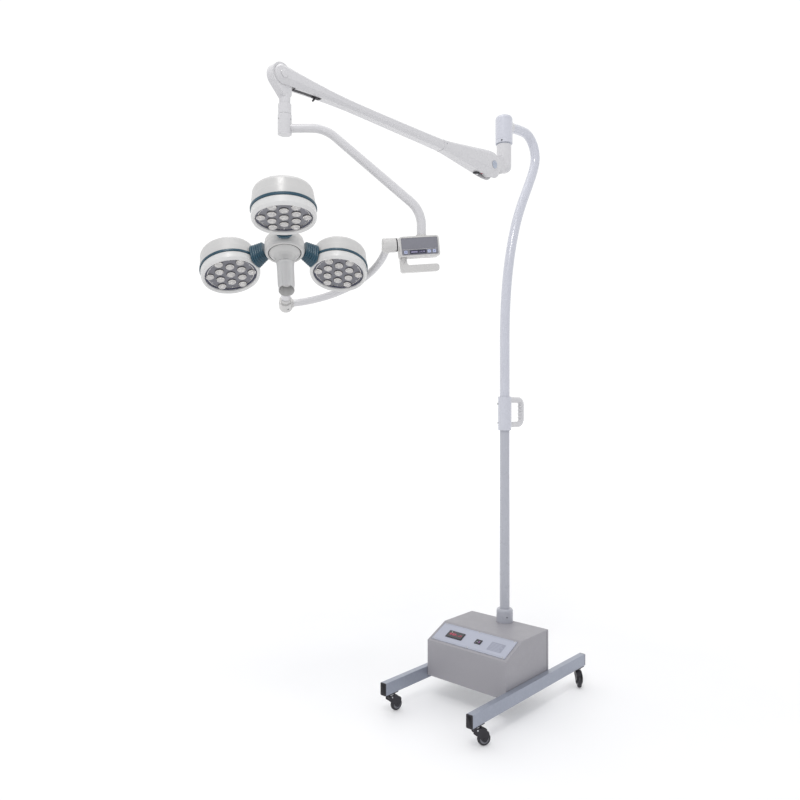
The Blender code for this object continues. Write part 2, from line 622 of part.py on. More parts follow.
def pin(name, y, z, half, radius, head_r, parent, finish, holes):
    """A headed pivot pin across the arm, and clearance holes for it."""
    made = rod(name, radius, (-half, y, z), (half, y, z), 16)
    place(made, at(), parent=parent, finish=finish)
    for sign in (-1, 1):
        head = rod(f"{name}_head_{'l' if sign < 0 else 'r'}", head_r, (sign * (half - 0.001), y, z), (sign * (half + 0.0022), y, z), 20)
        helper(head, made)
        cut(made, head, "UNION")
    for target, bore in holes:
        hole = rod(f"{target.name}_{name}_hole", bore, (-half - 0.02, y, z), (half + 0.02, y, z), 16)
        helper(hole, target, at())
        cut(target, hole)
    return made


rear_pin = pin("rear_pivot_pin", REAR_PIVOT[0], REAR_PIVOT[1], 0.0315, 0.0078, 0.0165, arm_tilt, STEEL, ((rear_cover, 0.0084),))
front_pin = pin("front_pivot_pin", FRONT_PIVOT[0], FRONT_PIVOT[1], 0.0260, 0.0060, 0.0120, arm_tilt, STEEL, ((front_cover, 0.0066),))

# tension spring cartridge, above the parallel link inside the arm
spring = rod("balance_spring", 0.0065, (0, -0.200, 2.2560), (0, -0.405, 2.2455), 12)
place(spring, at(), parent=arm_tilt, finish=STEEL)
coils = [Vector((0, -0.200, 2.2560)).lerp(Vector((0, -0.405, 2.2455)), t) for t in (0.03, 0.97)]
for n, p in enumerate(coils):
    ring = rod(f"spring_end_{n}", 0.0075, p + Vector((0, 0.005, 0)), p - Vector((0, 0.005, 0)), 12)
    helper(ring, spring)
    cut(spring, ring, "UNION")

link_axis = empty("parallel_link_axis", at(REAR_PIVOT[0], REAR_PIVOT[1] - LINK_DROP), arm_swivel)
link = rod("parallel_link", 0.0040, (0, -0.192, REAR_PIVOT[1] - LINK_DROP + 0.0006), (0, -1.160, FRONT_PIVOT[1] - LINK_DROP - 0.0005), 12)
place(link, at(), parent=link_axis, finish=STEEL)

front_level = empty("front_level_axis", at(FRONT_PIVOT[0], FRONT_PIVOT[1]), arm_tilt)
DRUM_R = 0.0365
front_knuckle = turned("front_knuckle", [
    (0.0, 2.200), (0.0150, 2.200), (0.0172, 2.188), (0.0172, 2.1640), (0.0205, 2.1620), (0.0205, 2.1312),
    (0.0095, 2.1312), (0.0095, 2.0960), (0.0, 2.0960)], 20)
place(front_knuckle, at(HEAD_Y), parent=front_level, finish=PAINT_WHITE)
drop = belt((FRONT_PIVOT[0], FRONT_PIVOT[1]), DRUM_R, (HEAD_Y - 0.0005, 2.1960), 0.0164)
drum = as_mesh(outline("front_drum", drop, FRONT_TONGUE))
helper(drum, front_knuckle, SIDE)
cut(front_knuckle, drum, "UNION")
front_bore = rod("front_pin_bore", 0.0066, (-0.05, FRONT_PIVOT[0], FRONT_PIVOT[1]), (0.05, FRONT_PIVOT[0], FRONT_PIVOT[1]), 16)
helper(front_bore, front_knuckle, at())
cut(front_knuckle, front_bore)

# ------------------------------------------------------------------ suspension bows
turn = math.radians(BOW_TURN)
rise = math.radians(ELBOW_RISE)
out_h = Vector((math.cos(turn), math.sin(turn), 0))          # out along the bow, level
away = Vector((-math.sin(turn), math.cos(turn), 0))          # square to the bow plane
up = Vector((0, 0, 1))
h1 = out_h * math.cos(rise) + up * math.sin(rise)            # elbow axis
q_up = up * math.cos(rise) - out_h * math.sin(rise)
dip = math.radians(HEAD_DIP)
h2 = away * math.cos(dip) - q_up * math.sin(dip)             # head axis
back = q_up * math.cos(dip) + away * math.sin(dip)           # towards the back of the head
gimbal = Vector((0, HEAD_Y, GIMBAL_Z))
BOW = basis(out_h, away, up, (0, HEAD_Y, 0))
BOXF = basis(h1, away, q_up, gimbal)
ELBOW = basis(h1, h2, back, gimbal)
HEAD = ELBOW @ Matrix.Rotation(math.radians(HEAD_ROLL), 4, "Y")

bow_axis = empty("bow_swivel_axis", at(HEAD_Y, 2.130), front_level)
BEARING = (2.0700, 2.1304)
bow = turned("outer_bow", [
    (0.0, 2.0950), (0.0099, 2.0950), (0.0099, BEARING[1]), (0.0205, BEARING[1]), (0.0215, BEARING[1] - 0.001),
    (0.0215, BEARING[0] + 0.001), (0.0205, BEARING[0]), (0.0, BEARING[0])], 20)
place(bow, at(HEAD_Y), parent=bow_axis, finish=PAINT_WHITE)
bow_corners = [(0.0160, 0, 2.0908), (0.1233, 0, 2.0984), (BOW_S, 0, 1.8552), (BOW_S, 0, 1.7580)]
bow_path = filleted(bow_corners, [0.104, 0.093], 5)
length = [0.0]
for a, b in zip(bow_path, bow_path[1:]):
    length.append(length[-1] + (b - a).length)
bow_radii = [BOW_R0 + (BOW_R1 - BOW_R0) * s / length[-1] for s in length]
bow_tube = as_mesh(tube("outer_bow_tube", bow_path, 0.0140, 2, bow_radii))
helper(bow_tube, bow, BOW)
cut(bow, bow_tube, "UNION")

BOX_X, BOX_ZR, BOX_HD = (0.3585, 0.4875), (-0.0430, 0.0210), 0.0200
control = box("control_box", (BOX_X[0], -BOX_HD, BOX_ZR[0]), (BOX_X[1], BOX_HD, BOX_ZR[1]))
place(control, BOXF, parent=bow_axis, finish=CONTROL)
bevel(control, 0.0025, 2)
boss = rod("elbow_boss", 0.0208, (0.3500, 0, 0), (0.3600, 0, 0), 24)
helper(boss, control, BOXF)
cut(control, boss, "UNION")
stub = rod("elbow_stub", 0.0090, (0.3160, 0, 0), (0.3600, 0, 0), 16)
helper(stub, control, BOXF)
cut(control, stub, "UNION")
pocket = box("fascia_pocket", (0.3635, -BOX_HD - 0.01, -0.0385), (0.4825, -BOX_HD + 0.0035, 0.0160))
helper(pocket, control, BOXF)
cut(control, pocket)
tube_hole = rod("bow_socket", BOW_R1 + 0.0005, (BOW_S, 0, 1.7573), (BOW_S, 0, 1.90), 24)
helper(tube_hole, control, BOW)
cut(control, tube_hole)

fascia = box("control_fascia", (0.3640, -BOX_HD + 0.0006, -0.0380), (0.4820, -BOX_HD + 0.0031, 0.0155))
place(fascia, BOXF, parent=bow_axis, finish=("fascia_grey", (0.32, 0.32, 0.38), 0.4, 0.0))
KEY_Z = -0.0290
for name, u in (("power_key", 0.3760), ("dim_key", 0.4520), ("bright_key", 0.4690)):
    window = box(name + "_window", (u - 0.0060, -BOX_HD - 0.01, KEY_Z - 0.0055), (u + 0.0060, -BOX_HD + 0.0105, KEY_Z + 0.0055))
    helper(window, fascia, BOXF)
    cut(fascia, window)
    well = box(name + "_well", (u - 0.0060, -BOX_HD - 0.01, KEY_Z - 0.0055), (u + 0.0060, -BOX_HD + 0.0078, KEY_Z + 0.0055))
    helper(well, control, BOXF)
    cut(control, well)
    slide = empty(name + "_slide", BOXF @ Matrix.Translation((u, 0, KEY_Z)), bow_axis)
    key = box(name, (u - 0.0055, -BOX_HD - 0.0012, KEY_Z - 0.0050), (u + 0.0055, -BOX_HD + 0.0060, KEY_Z + 0.0050))
    place(key, BOXF, parent=slide, finish=KEY)
    bevel(key, 0.0006)

grip_pts = [(0.3590, -0.0434), (0.3590, -0.0850), (0.3640, -0.0900), (0.4840, -0.0900), (0.4840, -0.0675),
            (0.3850, -0.0675), (0.3800, -0.0625), (0.3800, -0.0434)]
grip = as_mesh(outline("adjust_grip", grip_pts, 0.0090))
place(grip, BOXF @ basis((1, 0, 0), (0, 0, 1), (0, -1, 0), (0, 0, 0)), parent=bow_axis, finish=CONTROL)
bevel(grip, 0.0025, 2)

elbow_axis = empty("elbow_axis", ELBOW, bow_axis)
inner = rod("inner_bow", 0.0225, (0.3085, 0, 0), (0.3495, 0, 0), 28)
place(inner, ELBOW, parent=elbow_axis, finish=PAINT_WHITE)
quarter = [(INNER_BOW_R * math.cos(math.radians(a)), INNER_BOW_R * math.sin(math.radians(a)), 0)
           for a in [90 * k / 12 for k in range(13)]]
quarter_tube = as_mesh(tube("inner_bow_tube", quarter, INNER_TUBE_R, 2))
helper(quarter_tube, inner, ELBOW)
cut(inner, quarter_tube, "UNION")
REAR_BLOCK = (0.2990, 0.3450)
block = rod("rear_block", 0.0235, (0, REAR_BLOCK[0], 0), (0, REAR_BLOCK[1], 0), 24)
helper(block, inner, ELBOW)
cut(inner, block, "UNION")
elbow_bore = rod("elbow_bore", 0.0095, (0.3150, 0, 0), (0.3600, 0, 0), 16)
helper(elbow_bore, inner, ELBOW)
cut(inner, elbow_bore)
block_bore = rod("block_bore", 0.0105, (0, 0.2800, 0), (0, 0.3360, 0), 16)
helper(block_bore, inner, ELBOW)
cut(inner, block_bore)

# ------------------------------------------------------------------ lamp head
head_axis = empty("head_axis", HEAD, elbow_axis)
hub = turned("hub_housing", [
    (0.0, 0.0520), (0.0360, 0.0505), (0.0520, 0.0455), (0.0590, 0.0380), (HUB_R, 0.0280), (HUB_R, -0.0020), (0.0580, -0.0090), (0.0505, -0.0090), (0.0505, -0.0035), (0.0, -0.0035)], 28)
place(hub, HEAD, parent=head_axis, finish=HEAD_WHITE)
spindle = rod("hub_spindle", 0.0155, (0, HUB_R + 0.004, 0.0060), (0, 0.2985, 0.0), 20, 0.0155)
place(spindle, HEAD, parent=head_axis, finish=HEAD_WHITE)
seat = rod("spindle_seat", 0.0230, (0, HUB_R - 0.004, 0.0060), (0, HUB_R + 0.012, 0.0060), 20)
helper(seat, spindle, HEAD)
cut(spindle, seat, "UNION")
hub_room = rod("hub_room", HUB_R + 0.0008, (0, 0, -0.05), (0, 0, 0.08), 28)
helper(hub_room, spindle, HEAD)
cut(spindle, hub_room)
tail = rod("spindle_tail", 0.0100, (0, 0.2900, 0), (0, 0.3350, 0), 16)
helper(tail, spindle, HEAD)
cut(spindle, tail, "UNION")

mount = turned("handle_mount", [
    (0.0, -0.0040), (0.0480, -0.0040), (0.0480, -0.0080), (0.0440, -0.0125), (0.0350, -0.0210), (0.0295, -0.0320),
    (0.0272, -0.0440), (0.0118, -0.0440), (0.0118, -0.1180), (0.0, -0.1180)], 20)
place(mount, HEAD, parent=head_axis, finish=HEAD_WHITE)
handle_axis = empty("handle_twist_axis", HEAD, head_axis)
handle = turned("sterile_handle", [
    (0.0, -0.1200), (0.0124, -0.1200), (0.0124, -0.0445), (0.0270, -0.0445), (0.0262, -0.0620), (0.0243, -0.1000),
    (0.0238, -0.1400), (0.0200, -0.1530), (0.0, -0.1545)], 20)
place(handle, HEAD, parent=handle_axis, finish=HEAD_WHITE)
nip = box("handle_slant", (-0.06, -0.06, -0.035), (0.06, 0.06, 0.0))
helper(nip, handle, HEAD @ Matrix.Translation((0, 0, -0.1400)) @ Matrix.Rotation(math.radians(-16), 4, "X"))
cut(handle, nip)

POD_ANGLES = {"front": -90.0, "right": 30.0, "left": 150.0}
for tag, angle in POD_ANGLES.items():
    frame = (HEAD @ Matrix.Rotation(math.radians(angle), 4, "Z") @ Matrix.Translation((POD_CIRCLE, 0, 0))
             @ Matrix.Rotation(math.radians(POD_CANT), 4, "Y"))
    shell = turned("pod_shell_" + tag, [
        (0.0, 0.0735), (0.0700, 0.0710), (0.0830, 0.0640), (0.0868, 0.0560), (POD_R, 0.0096), (POD_R - 0.0025, 0.0096),
        (0.0845, 0.0540), (0.0700, 0.0675), (0.0, 0.0705)], 28)
    place(shell, frame, parent=head_axis, finish=HEAD_WHITE)
    band = turned("pod_band_" + tag, [(0.0890, 0.0092), (POD_BAND_R, 0.0092), (POD_BAND_R, 0.0010), (0.0890, 0.0010)], 28, loop=True)
    place(band, frame, parent=head_axis, finish=TEAL)
    # ribbed neck between the band and the hub, along the pod's own -X
    rings = []
    hub_face = -(POD_CIRCLE - HUB_R) + 0.004
    ribs = 4
    for k in range(2 * ribs + 1):
        t = k / (2 * ribs)
        x = -0.0925 + (hub_face + 0.0925) * t
        swell = 0.0022 if k % 2 == 0 else 0.0
        high = 0.0330 - 0.0090 * t + swell
        wide = 0.0270 - 0.0070 * t + swell
        mid = 0.0020 + 0.0060 * t
        rings.append([(x, y, mid + z) for y, z in section(wide, high, 3.2, 12)])
    neck = lofted("pod_neck_" + tag, rings)
    helper(neck, band, frame)
    cut(band, neck, "UNION")
    trim = rod("neck_trim_" + tag, HUB_R + 0.0008, (0, 0, -0.06), (0, 0, 0.08), 28)
    helper(trim, band, HEAD)
    cut(band, trim)
    keep = rod("neck_keep_" + tag, POD_BAND_R - 0.0012, (0, 0, 0.0093), (0, 0, 0.06), 28)
    helper(keep, band, frame)
    cut(band, keep)
    keep2 = rod("neck_keep_low_" + tag, POD_BAND_R - 0.0012, (0, 0, -0.06), (0, 0, 0.0009), 28)
    helper(keep2, band, frame)
    cut(band, keep2)
    bezel = turned("pod_bezel_" + tag, [
        (0.0885, 0.0006), (0.0920, 0.0006), (0.0927, -0.0200), (0.0885, -0.0292), (0.0812, -0.0240),
        (0.0812, -0.0175), (0.0885, -0.0175)], 28, loop=True)
    place(bezel, frame, parent=head_axis, finish=HEAD_WHITE)
    plate = rod("pod_lens_array_" + tag, 0.0870, (0, 0, -0.0170), (0, 0, -0.0130), 28)
    place(plate, frame, parent=head_axis, finish=LENS)
    lens_spots = [(0.0, 0.0)]
    for radius, start in ((0.0395, 0.0), (0.0655, 30.0)):
        lens_spots += [(radius * math.cos(math.radians(start + 60 * k)), radius * math.sin(math.radians(start + 60 * k)))
                       for k in range(6)]

    def lenses(work, spots=lens_spots):
        for x, y in spots:
            bmesh.ops.create_cone(work, cap_ends=True, segments=6, radius1=0.0080, radius2=0.0130, depth=0.0065,
                                  matrix=Matrix.Translation((x, y, -0.0186)))
    buttons = mesh_object("lens_buttons_" + tag, lenses)
    helper(buttons, plate, frame)
    cut(plate, buttons, "UNION")
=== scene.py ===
"""Looks of the mobile surgical light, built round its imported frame."""
import bpy
import bmesh
import math
from mathutils import Matrix, Vector


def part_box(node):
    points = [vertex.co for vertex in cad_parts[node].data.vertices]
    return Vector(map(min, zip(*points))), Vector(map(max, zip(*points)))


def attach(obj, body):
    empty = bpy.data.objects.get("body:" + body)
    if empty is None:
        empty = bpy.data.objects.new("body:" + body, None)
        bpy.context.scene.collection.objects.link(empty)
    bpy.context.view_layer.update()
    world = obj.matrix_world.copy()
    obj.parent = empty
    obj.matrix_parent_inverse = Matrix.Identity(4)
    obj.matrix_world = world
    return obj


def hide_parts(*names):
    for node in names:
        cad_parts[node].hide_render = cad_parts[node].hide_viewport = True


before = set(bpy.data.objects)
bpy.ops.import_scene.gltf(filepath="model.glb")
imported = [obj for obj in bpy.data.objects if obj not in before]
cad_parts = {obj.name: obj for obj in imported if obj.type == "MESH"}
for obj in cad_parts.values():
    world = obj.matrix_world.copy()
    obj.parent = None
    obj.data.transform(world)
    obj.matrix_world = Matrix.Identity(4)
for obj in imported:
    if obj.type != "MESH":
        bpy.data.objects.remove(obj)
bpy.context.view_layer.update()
scene = bpy.context.scene

# The mast's axis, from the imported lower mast.  Every number below is in the mast's frame.
lo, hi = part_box("lower_mast")
MAST = Matrix.Translation(((lo.x + hi.x) / 2, (lo.y + hi.y) / 2, 0))

# ------------------------------------------------------------------ frames
out_h = Vector((math.cos(math.radians(52.9)), math.sin(math.radians(52.9)), 0))
away = Vector((-out_h.y, out_h.x, 0))
up = Vector((0, 0, 1))
rise, dip = math.radians(5.5), math.radians(22.4)
h1 = out_h * math.cos(rise) + up * math.sin(rise)
q_up = up * math.cos(rise) - out_h * math.sin(rise)
h2 = away * math.cos(dip) - q_up * math.sin(dip)
back = q_up * math.cos(dip) + away * math.sin(dip)


def basis(x, y, z, origin):
    made = Matrix.Identity(4)
    for col, axis in enumerate((x, y, z)):
        for row in range(3):
            made[row][col] = axis[row]
    made.translation = origin
    return made


def move(x=0.0, y=0.0, z=0.0):
    return Matrix.Translation((x, y, z))


def turn(angle, axis):
    return Matrix.Rotation(math.radians(angle), 4, axis)


HEAD_Y, GIMBAL_Z = -1.205, 1.710
gimbal = Vector((0, HEAD_Y, GIMBAL_Z))
BASE = MAST
BOW = MAST @ basis(out_h, away, up, (0, HEAD_Y, 0))
BOXF = MAST @ basis(h1, away, q_up, gimbal)
ELBOW = MAST @ basis(h1, h2, back, gimbal)
HEAD = ELBOW @ turn(3.3, "Y")
run = Vector((0, -0.1691 + 0.2855, 0.2926 - 0.2394)).normalized()
SLOPE = MAST @ basis((1, 0, 0), run, Vector((1, 0, 0)).cross(run), Vector((0, -0.2273, 0.2660)))
SIDE = basis((0, 1, 0), (0, 0, 1), (1, 0, 0), (0, 0, 0))       # (y, z) outlines, thickness along x
XZ = basis((1, 0, 0), (0, 0, 1), (0, -1, 0), (0, 0, 0))        # (x, z) outlines, thickness along y


# ------------------------------------------------------------------ materials
def nodes_of(name):
    made = bpy.data.materials.new(name)
    made.use_nodes = True
    tree = made.node_tree
    return made, tree, tree.nodes["Principled BSDF"]


def link(tree, a, b):
    tree.links.new(a, b)


def noise(tree, coord, scale, detail=3.0, rough=0.5, stretch=None):
    node = tree.nodes.new("ShaderNodeTexNoise")
    node.inputs["Scale"].default_value = scale
    node.inputs["Detail"].default_value = detail
    node.inputs["Roughness"].default_value = rough
    if stretch:
        mapping = tree.nodes.new("ShaderNodeMapping")
        mapping.inputs["Scale"].default_value = stretch
        link(tree, coord, mapping.inputs["Vector"])
        coord = mapping.outputs["Vector"]
    link(tree, coord, node.inputs["Vector"])
    return node.outputs["Fac"]


def ramp(tree, fac, stops):
    node = tree.nodes.new("ShaderNodeValToRGB")
    items = node.color_ramp.elements
    while len(items) < len(stops):
        items.new(0.5)
    for item, (at, value) in zip(items, stops):
        item.position = at
        item.color = (*value, 1.0) if isinstance(value, tuple) else (value, value, value, 1.0)
    link(tree, fac, node.inputs["Fac"])
    return node.outputs["Color"]


def shade(colour, k):
    return tuple(max(0.0, min(1.0, c * k)) for c in colour)


def coat_material(name, colour, rough=0.35, coat=0.3, grain=900.0, bump=0.06, metal=0.0, spread=0.05,
                  wear=0.0, dust=0.0, spec=0.5, tint=None, flake=0.0):
    """Paint or moulded plastic: a slightly cloudy colour, uneven gloss and a fine surface texture."""
    made, tree, shader = nodes_of(name)
    coord = tree.nodes.new("ShaderNodeTexCoord").outputs["Object"]
    cloud = noise(tree, coord, 9.0, 5.0, 0.6)
    base = ramp(tree, cloud, [(0.30, shade(colour, 1 - spread)), (0.55, colour), (0.75, shade(tint or colour, 1 + spread))])
    fine = noise(tree, coord, grain, 2.0, 0.5)
    if flake:
        sparkle = ramp(tree, noise(tree, coord, 2600.0, 1.0), [(0.46, shade(colour, 1 - flake)), (0.60, shade(colour, 1 + flake))])
        mix = tree.nodes.new("ShaderNodeMix")
        mix.data_type = "RGBA"
        mix.blend_type = "OVERLAY"
        mix.inputs["Factor"].default_value = 0.6
        link(tree, base, mix.inputs[6])
        link(tree, sparkle, mix.inputs[7])
        base = mix.outputs[2]
    if wear:
        point = tree.nodes.new("ShaderNodeNewGeometry").outputs["Pointiness"]
        edge = ramp(tree, point, [(0.535, 0.0), (0.60, 1.0)])
        broken = ramp(tree, noise(tree, coord, 90.0, 6.0, 0.7), [(0.50, 0.0), (0.62, 1.0)])
        worn = tree.nodes.new("ShaderNodeMath")
        worn.operation = "MULTIPLY"
        link(tree, edge, worn.inputs[0])
        link(tree, broken, worn.inputs[1])
        scaled = tree.nodes.new("ShaderNodeMath")
        scaled.operation = "MULTIPLY"
        scaled.inputs[1].default_value = wear
        link(tree, worn.outputs[0], scaled.inputs[0])
        mix = tree.nodes.new("ShaderNodeMix")
        mix.data_type = "RGBA"
        link(tree, scaled.outputs[0], mix.inputs["Factor"])
        link(tree, base, mix.inputs[6])
        mix.inputs[7].default_value = (*shade(colour, 1.35 if max(colour) < 0.7 else 0.8), 1.0)
        base = mix.outputs[2]
    if dust:
        normal = tree.nodes.new("ShaderNodeNewGeometry").outputs["Normal"]
        split = tree.nodes.new("ShaderNodeSeparateXYZ")
        link(tree, normal, split.inputs[0])
        top = ramp(tree, split.outputs["Z"], [(0.55, 0.0), (0.98, 1.0)])
        specks = ramp(tree, noise(tree, coord, 60.0, 8.0, 0.75), [(0.42, 0.0), (0.70, dust)])
        both = tree.nodes.new("ShaderNodeMath")
        both.operation = "MULTIPLY"
        link(tree, top, both.inputs[0])
        link(tree, specks, both.inputs[1])
        mix = tree.nodes.new("ShaderNodeMix")
        mix.data_type = "RGBA"
        link(tree, both.outputs[0], mix.inputs["Factor"])
        link(tree, base, mix.inputs[6])
        mix.inputs[7].default_value = (0.55, 0.53, 0.50, 1.0)
        base = mix.outputs[2]
    link(tree, base, shader.inputs["Base Color"])
    gloss = ramp(tree, noise(tree, coord, 26.0, 4.0, 0.6), [(0.30, max(0.02, rough - 0.06)), (0.72, min(1.0, rough + 0.08))])
    link(tree, gloss, shader.inputs["Roughness"])
    lift = tree.nodes.new("ShaderNodeBump")
    lift.inputs["Strength"].default_value = bump
    lift.inputs["Distance"].default_value = 0.0006
    link(tree, fine, lift.inputs["Height"])
    link(tree, lift.outputs["Normal"], shader.inputs["Normal"])
    shader.inputs["Metallic"].default_value = metal
    shader.inputs["Coat Weight"].default_value = coat
    shader.inputs["Coat Roughness"].default_value = 0.15
    shader.inputs["Specular IOR Level"].default_value = spec
    return made


def metal_material(name, colour, rough=0.28, stretch=(40.0, 40.0, 900.0), spread=0.10):
    """Turned or drawn metal: fine lines, and gloss that varies along them."""
    made, tree, shader = nodes_of(name)
    coord = tree.nodes.new("ShaderNodeTexCoord").outputs["Object"]
    lines = noise(tree, coord, 1.0, 4.0, 0.6, stretch)
    base = ramp(tree, lines, [(0.30, shade(colour, 1 - spread)), (0.70, shade(colour, 1 + spread))])
    link(tree, base, shader.inputs["Base Color"])
    link(tree, ramp(tree, lines, [(0.25, rough - 0.08), (0.75, rough + 0.10)]), shader.inputs["Roughness"])
    lift = tree.nodes.new("ShaderNodeBump")
    lift.inputs["Strength"].default_value = 0.08
    lift.inputs["Distance"].default_value = 0.0004
    link(tree, lines, lift.inputs["Height"])
    link(tree, lift.outputs["Normal"], shader.inputs["Normal"])
    shader.inputs["Metallic"].default_value = 1.0
    return made


def glass_material(name, colour, rough=0.03):
    """Clear moulded plastic over the LEDs, with faint flow marks."""
    made, tree, shader = nodes_of(name)
    coord = tree.nodes.new("ShaderNodeTexCoord").outputs["Object"]
    marks = noise(tree, coord, 140.0, 3.0, 0.5)
    link(tree, ramp(tree, marks, [(0.3, colour), (0.7, shade(colour, 0.96))]), shader.inputs["Base Color"])
    link(tree, ramp(tree, marks, [(0.3, rough), (0.7, rough + 0.04)]), shader.inputs["Roughness"])
    lift = tree.nodes.new("ShaderNodeBump")
    lift.inputs["Strength"].default_value = 0.05
    lift.inputs["Distance"].default_value = 0.0005
    link(tree, marks, lift.inputs["Height"])
    link(tree, lift.outputs["Normal"], shader.inputs["Normal"])
    shader.inputs["Transmission Weight"].default_value = 0.45
    shader.inputs["IOR"].default_value = 1.47
    return made


def glow_material(name, colour, strength, floor=(0.02, 0.02, 0.02), scale=220.0):
    """A dark window with a faintly lit, uneven field behind it."""
    made, tree, shader = nodes_of(name)
    coord = tree.nodes.new("ShaderNodeTexCoord").outputs["Object"]
    field = noise(tree, coord, scale, 2.0)
    link(tree, ramp(tree, field, [(0.35, floor), (0.70, colour)]), shader.inputs["Base Color"])
    link(tree, ramp(tree, field, [(0.35, floor), (0.70, colour)]), shader.inputs["Emission Color"])
    shader.inputs["Emission Strength"].default_value = strength
    link(tree, ramp(tree, field, [(0.3, 0.14), (0.7, 0.22)]), shader.inputs["Roughness"])
    return made


WHITE = coat_material("white_enamel", (0.585, 0.580, 0.592), 0.28, 0.4, 700.0, 0.015, spread=0.02)
TUBE_WHITE = coat_material("gooseneck_enamel", (0.545, 0.555, 0.610), 0.26, 0.45, 700.0, 0.015, spread=0.02)
MAST_GREY = coat_material("mast_enamel", (0.430, 0.440, 0.485), 0.30, 0.3, 700.0, 0.02, spread=0.025)
BOX_GREY = coat_material("box_powder_coat", (0.330, 0.322, 0.345), 0.50, 0.05, 520.0, 0.14, spread=0.02, wear=0.12, dust=0.05)
PANEL = coat_material("panel_paint", (0.430, 0.450, 0.530), 0.42, 0.05, 1300.0, 0.05, spread=0.03)
PANEL_INK = coat_material("panel_ink", (0.300, 0.315, 0.385), 0.45, 0.0, 1300.0, 0.05, spread=0.05)
RAIL = coat_material("rail_silver_paint", (0.360, 0.380, 0.430), 0.34, 0.25, 1500.0, 0.03, metal=0.35, spread=0.02, wear=0.15, dust=0.04, flake=0.02)
BLACK = coat_material("black_moulding", (0.018, 0.016, 0.022), 0.50, 0.0, 700.0, 0.22, spread=0.25, wear=0.3)
BLACK_GLOSS = coat_material("black_gloss", (0.012, 0.012, 0.016), 0.16, 0.6, 900.0, 0.03, spread=0.2)
TYRE = coat_material("castor_tyre", (0.030, 0.028, 0.034), 0.62, 0.0, 420.0, 0.30, spread=0.25, dust=0.2)
HUB_GREY = coat_material("castor_hub", (0.24, 0.24, 0.27), 0.45, 0.1, 800.0, 0.12, spread=0.10)
STEEL = metal_material("zinc_steel", (0.60, 0.61, 0.63))
PIN_STEEL = metal_material("pin_steel", (0.46, 0.50, 0.58), 0.30)
DARK_STEEL = metal_material("dark_screw", (0.10, 0.10, 0.11), 0.35)
TEAL = coat_material("teal_moulding", (0.012, 0.058, 0.092), 0.42, 0.12, 800.0, 0.08, spread=0.10, tint=(0.016, 0.072, 0.112))
SHELL = coat_material("lamp_shell", (0.540, 0.535, 0.525), 0.36, 0.15, 900.0, 0.06, spread=0.03)
BEZEL = coat_material("lamp_bezel", (0.640, 0.637, 0.628), 0.32, 0.2, 900.0, 0.05, spread=0.03)
PLATE = coat_material("lens_plate", (0.150, 0.150, 0.172), 0.35, 0.2, 500.0, 0.10, spread=0.12)
RING_BLUE = coat_material("inner_ring", (0.015, 0.018, 0.055), 0.20, 0.5, 700.0, 0.04, spread=0.2)
REFLECTOR = metal_material("led_reflector", (0.82, 0.80, 0.76), 0.16, (300.0, 300.0, 300.0), 0.06)
LED = glow_material("led_chip", (1.0, 0.97, 0.86), 0.9, (0.85, 0.80, 0.62), 900.0)
LENS = glass_material("led_lens", (0.80, 0.785, 0.775), 0.04)
CONTROL = coat_material("control_housing", (0.560, 0.552, 0.540), 0.40, 0.10, 700.0, 0.06, spread=0.03)
FASCIA = coat_material("control_fascia", (0.200, 0.200, 0.228), 0.36, 0.15, 1200.0, 0.05, spread=0.05)
KEY = coat_material("keypad_blue", (0.42, 0.46, 0.62), 0.36, 0.15, 900.0, 0.06, spread=0.06)
KEY_DOT = coat_material("keypad_mark", (0.05, 0.06, 0.20), 0.36, 0.1, 900.0, 0.06, spread=0.10)
LCD = coat_material("lcd_window", (0.016, 0.016, 0.045), 0.12, 0.8, 900.0, 0.02, spread=0.2)
LCD_BAR = glow_material("lcd_bar", (0.34, 0.32, 0.44), 0.25, (0.12, 0.11, 0.20), 600.0)
RED_GLOW = glow_material("display_red", (0.42, 0.05, 0.09), 0.35, (0.06, 0.01, 0.02), 160.0)
ROCKER_GLOW = glow_material("rocker_lamp", (0.36, 0.08, 0.40), 0.4, (0.10, 0.02, 0.12), 240.0)
BATTERY = coat_material("battery_case", (0.06, 0.06, 0.075), 0.55, 0.0, 500.0, 0.20, spread=0.15)


# ------------------------------------------------------------------ mesh tools
class Piece:
    """One visible piece: chunks of mesh code joined into a single mesh."""

    def __init__(self, name):
        self.name = name
        self.mesh = bpy.data.meshes.new(name)
        self.all = bmesh.new()
        self.mats = []

    def add(self, chunk, matrix, mat):
        if mat not in self.mats:
            self.mats.append(mat)
        index = self.mats.index(mat)
        bmesh.ops.recalc_face_normals(chunk, faces=chunk.faces)
        for face in chunk.faces:
            face.material_index = index
            face.smooth = True
        bmesh.ops.transform(chunk, matrix=matrix, verts=chunk.verts)
        carried = bpy.data.meshes.new("chunk")
        chunk.to_mesh(carried)
        chunk.free()
        self.all.from_mesh(carried)
        bpy.data.meshes.remove(carried)
        return self

    def done(self, body, *nodes, slot=None, angle=32.0):
        self.all.to_mesh(self.mesh)
        self.all.free()
        for mat in self.mats:
            self.mesh.materials.append(mat)
        self.mesh.set_sharp_from_angle(angle=math.radians(angle))
        made = bpy.data.objects.new(self.name, self.mesh)
        scene.collection.objects.link(made)
        weighted = made.modifiers.new("even_normals", "WEIGHTED_NORMAL")
        weighted.keep_sharp = True
        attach(made, body)
        if nodes:
            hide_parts(*nodes)
        return made


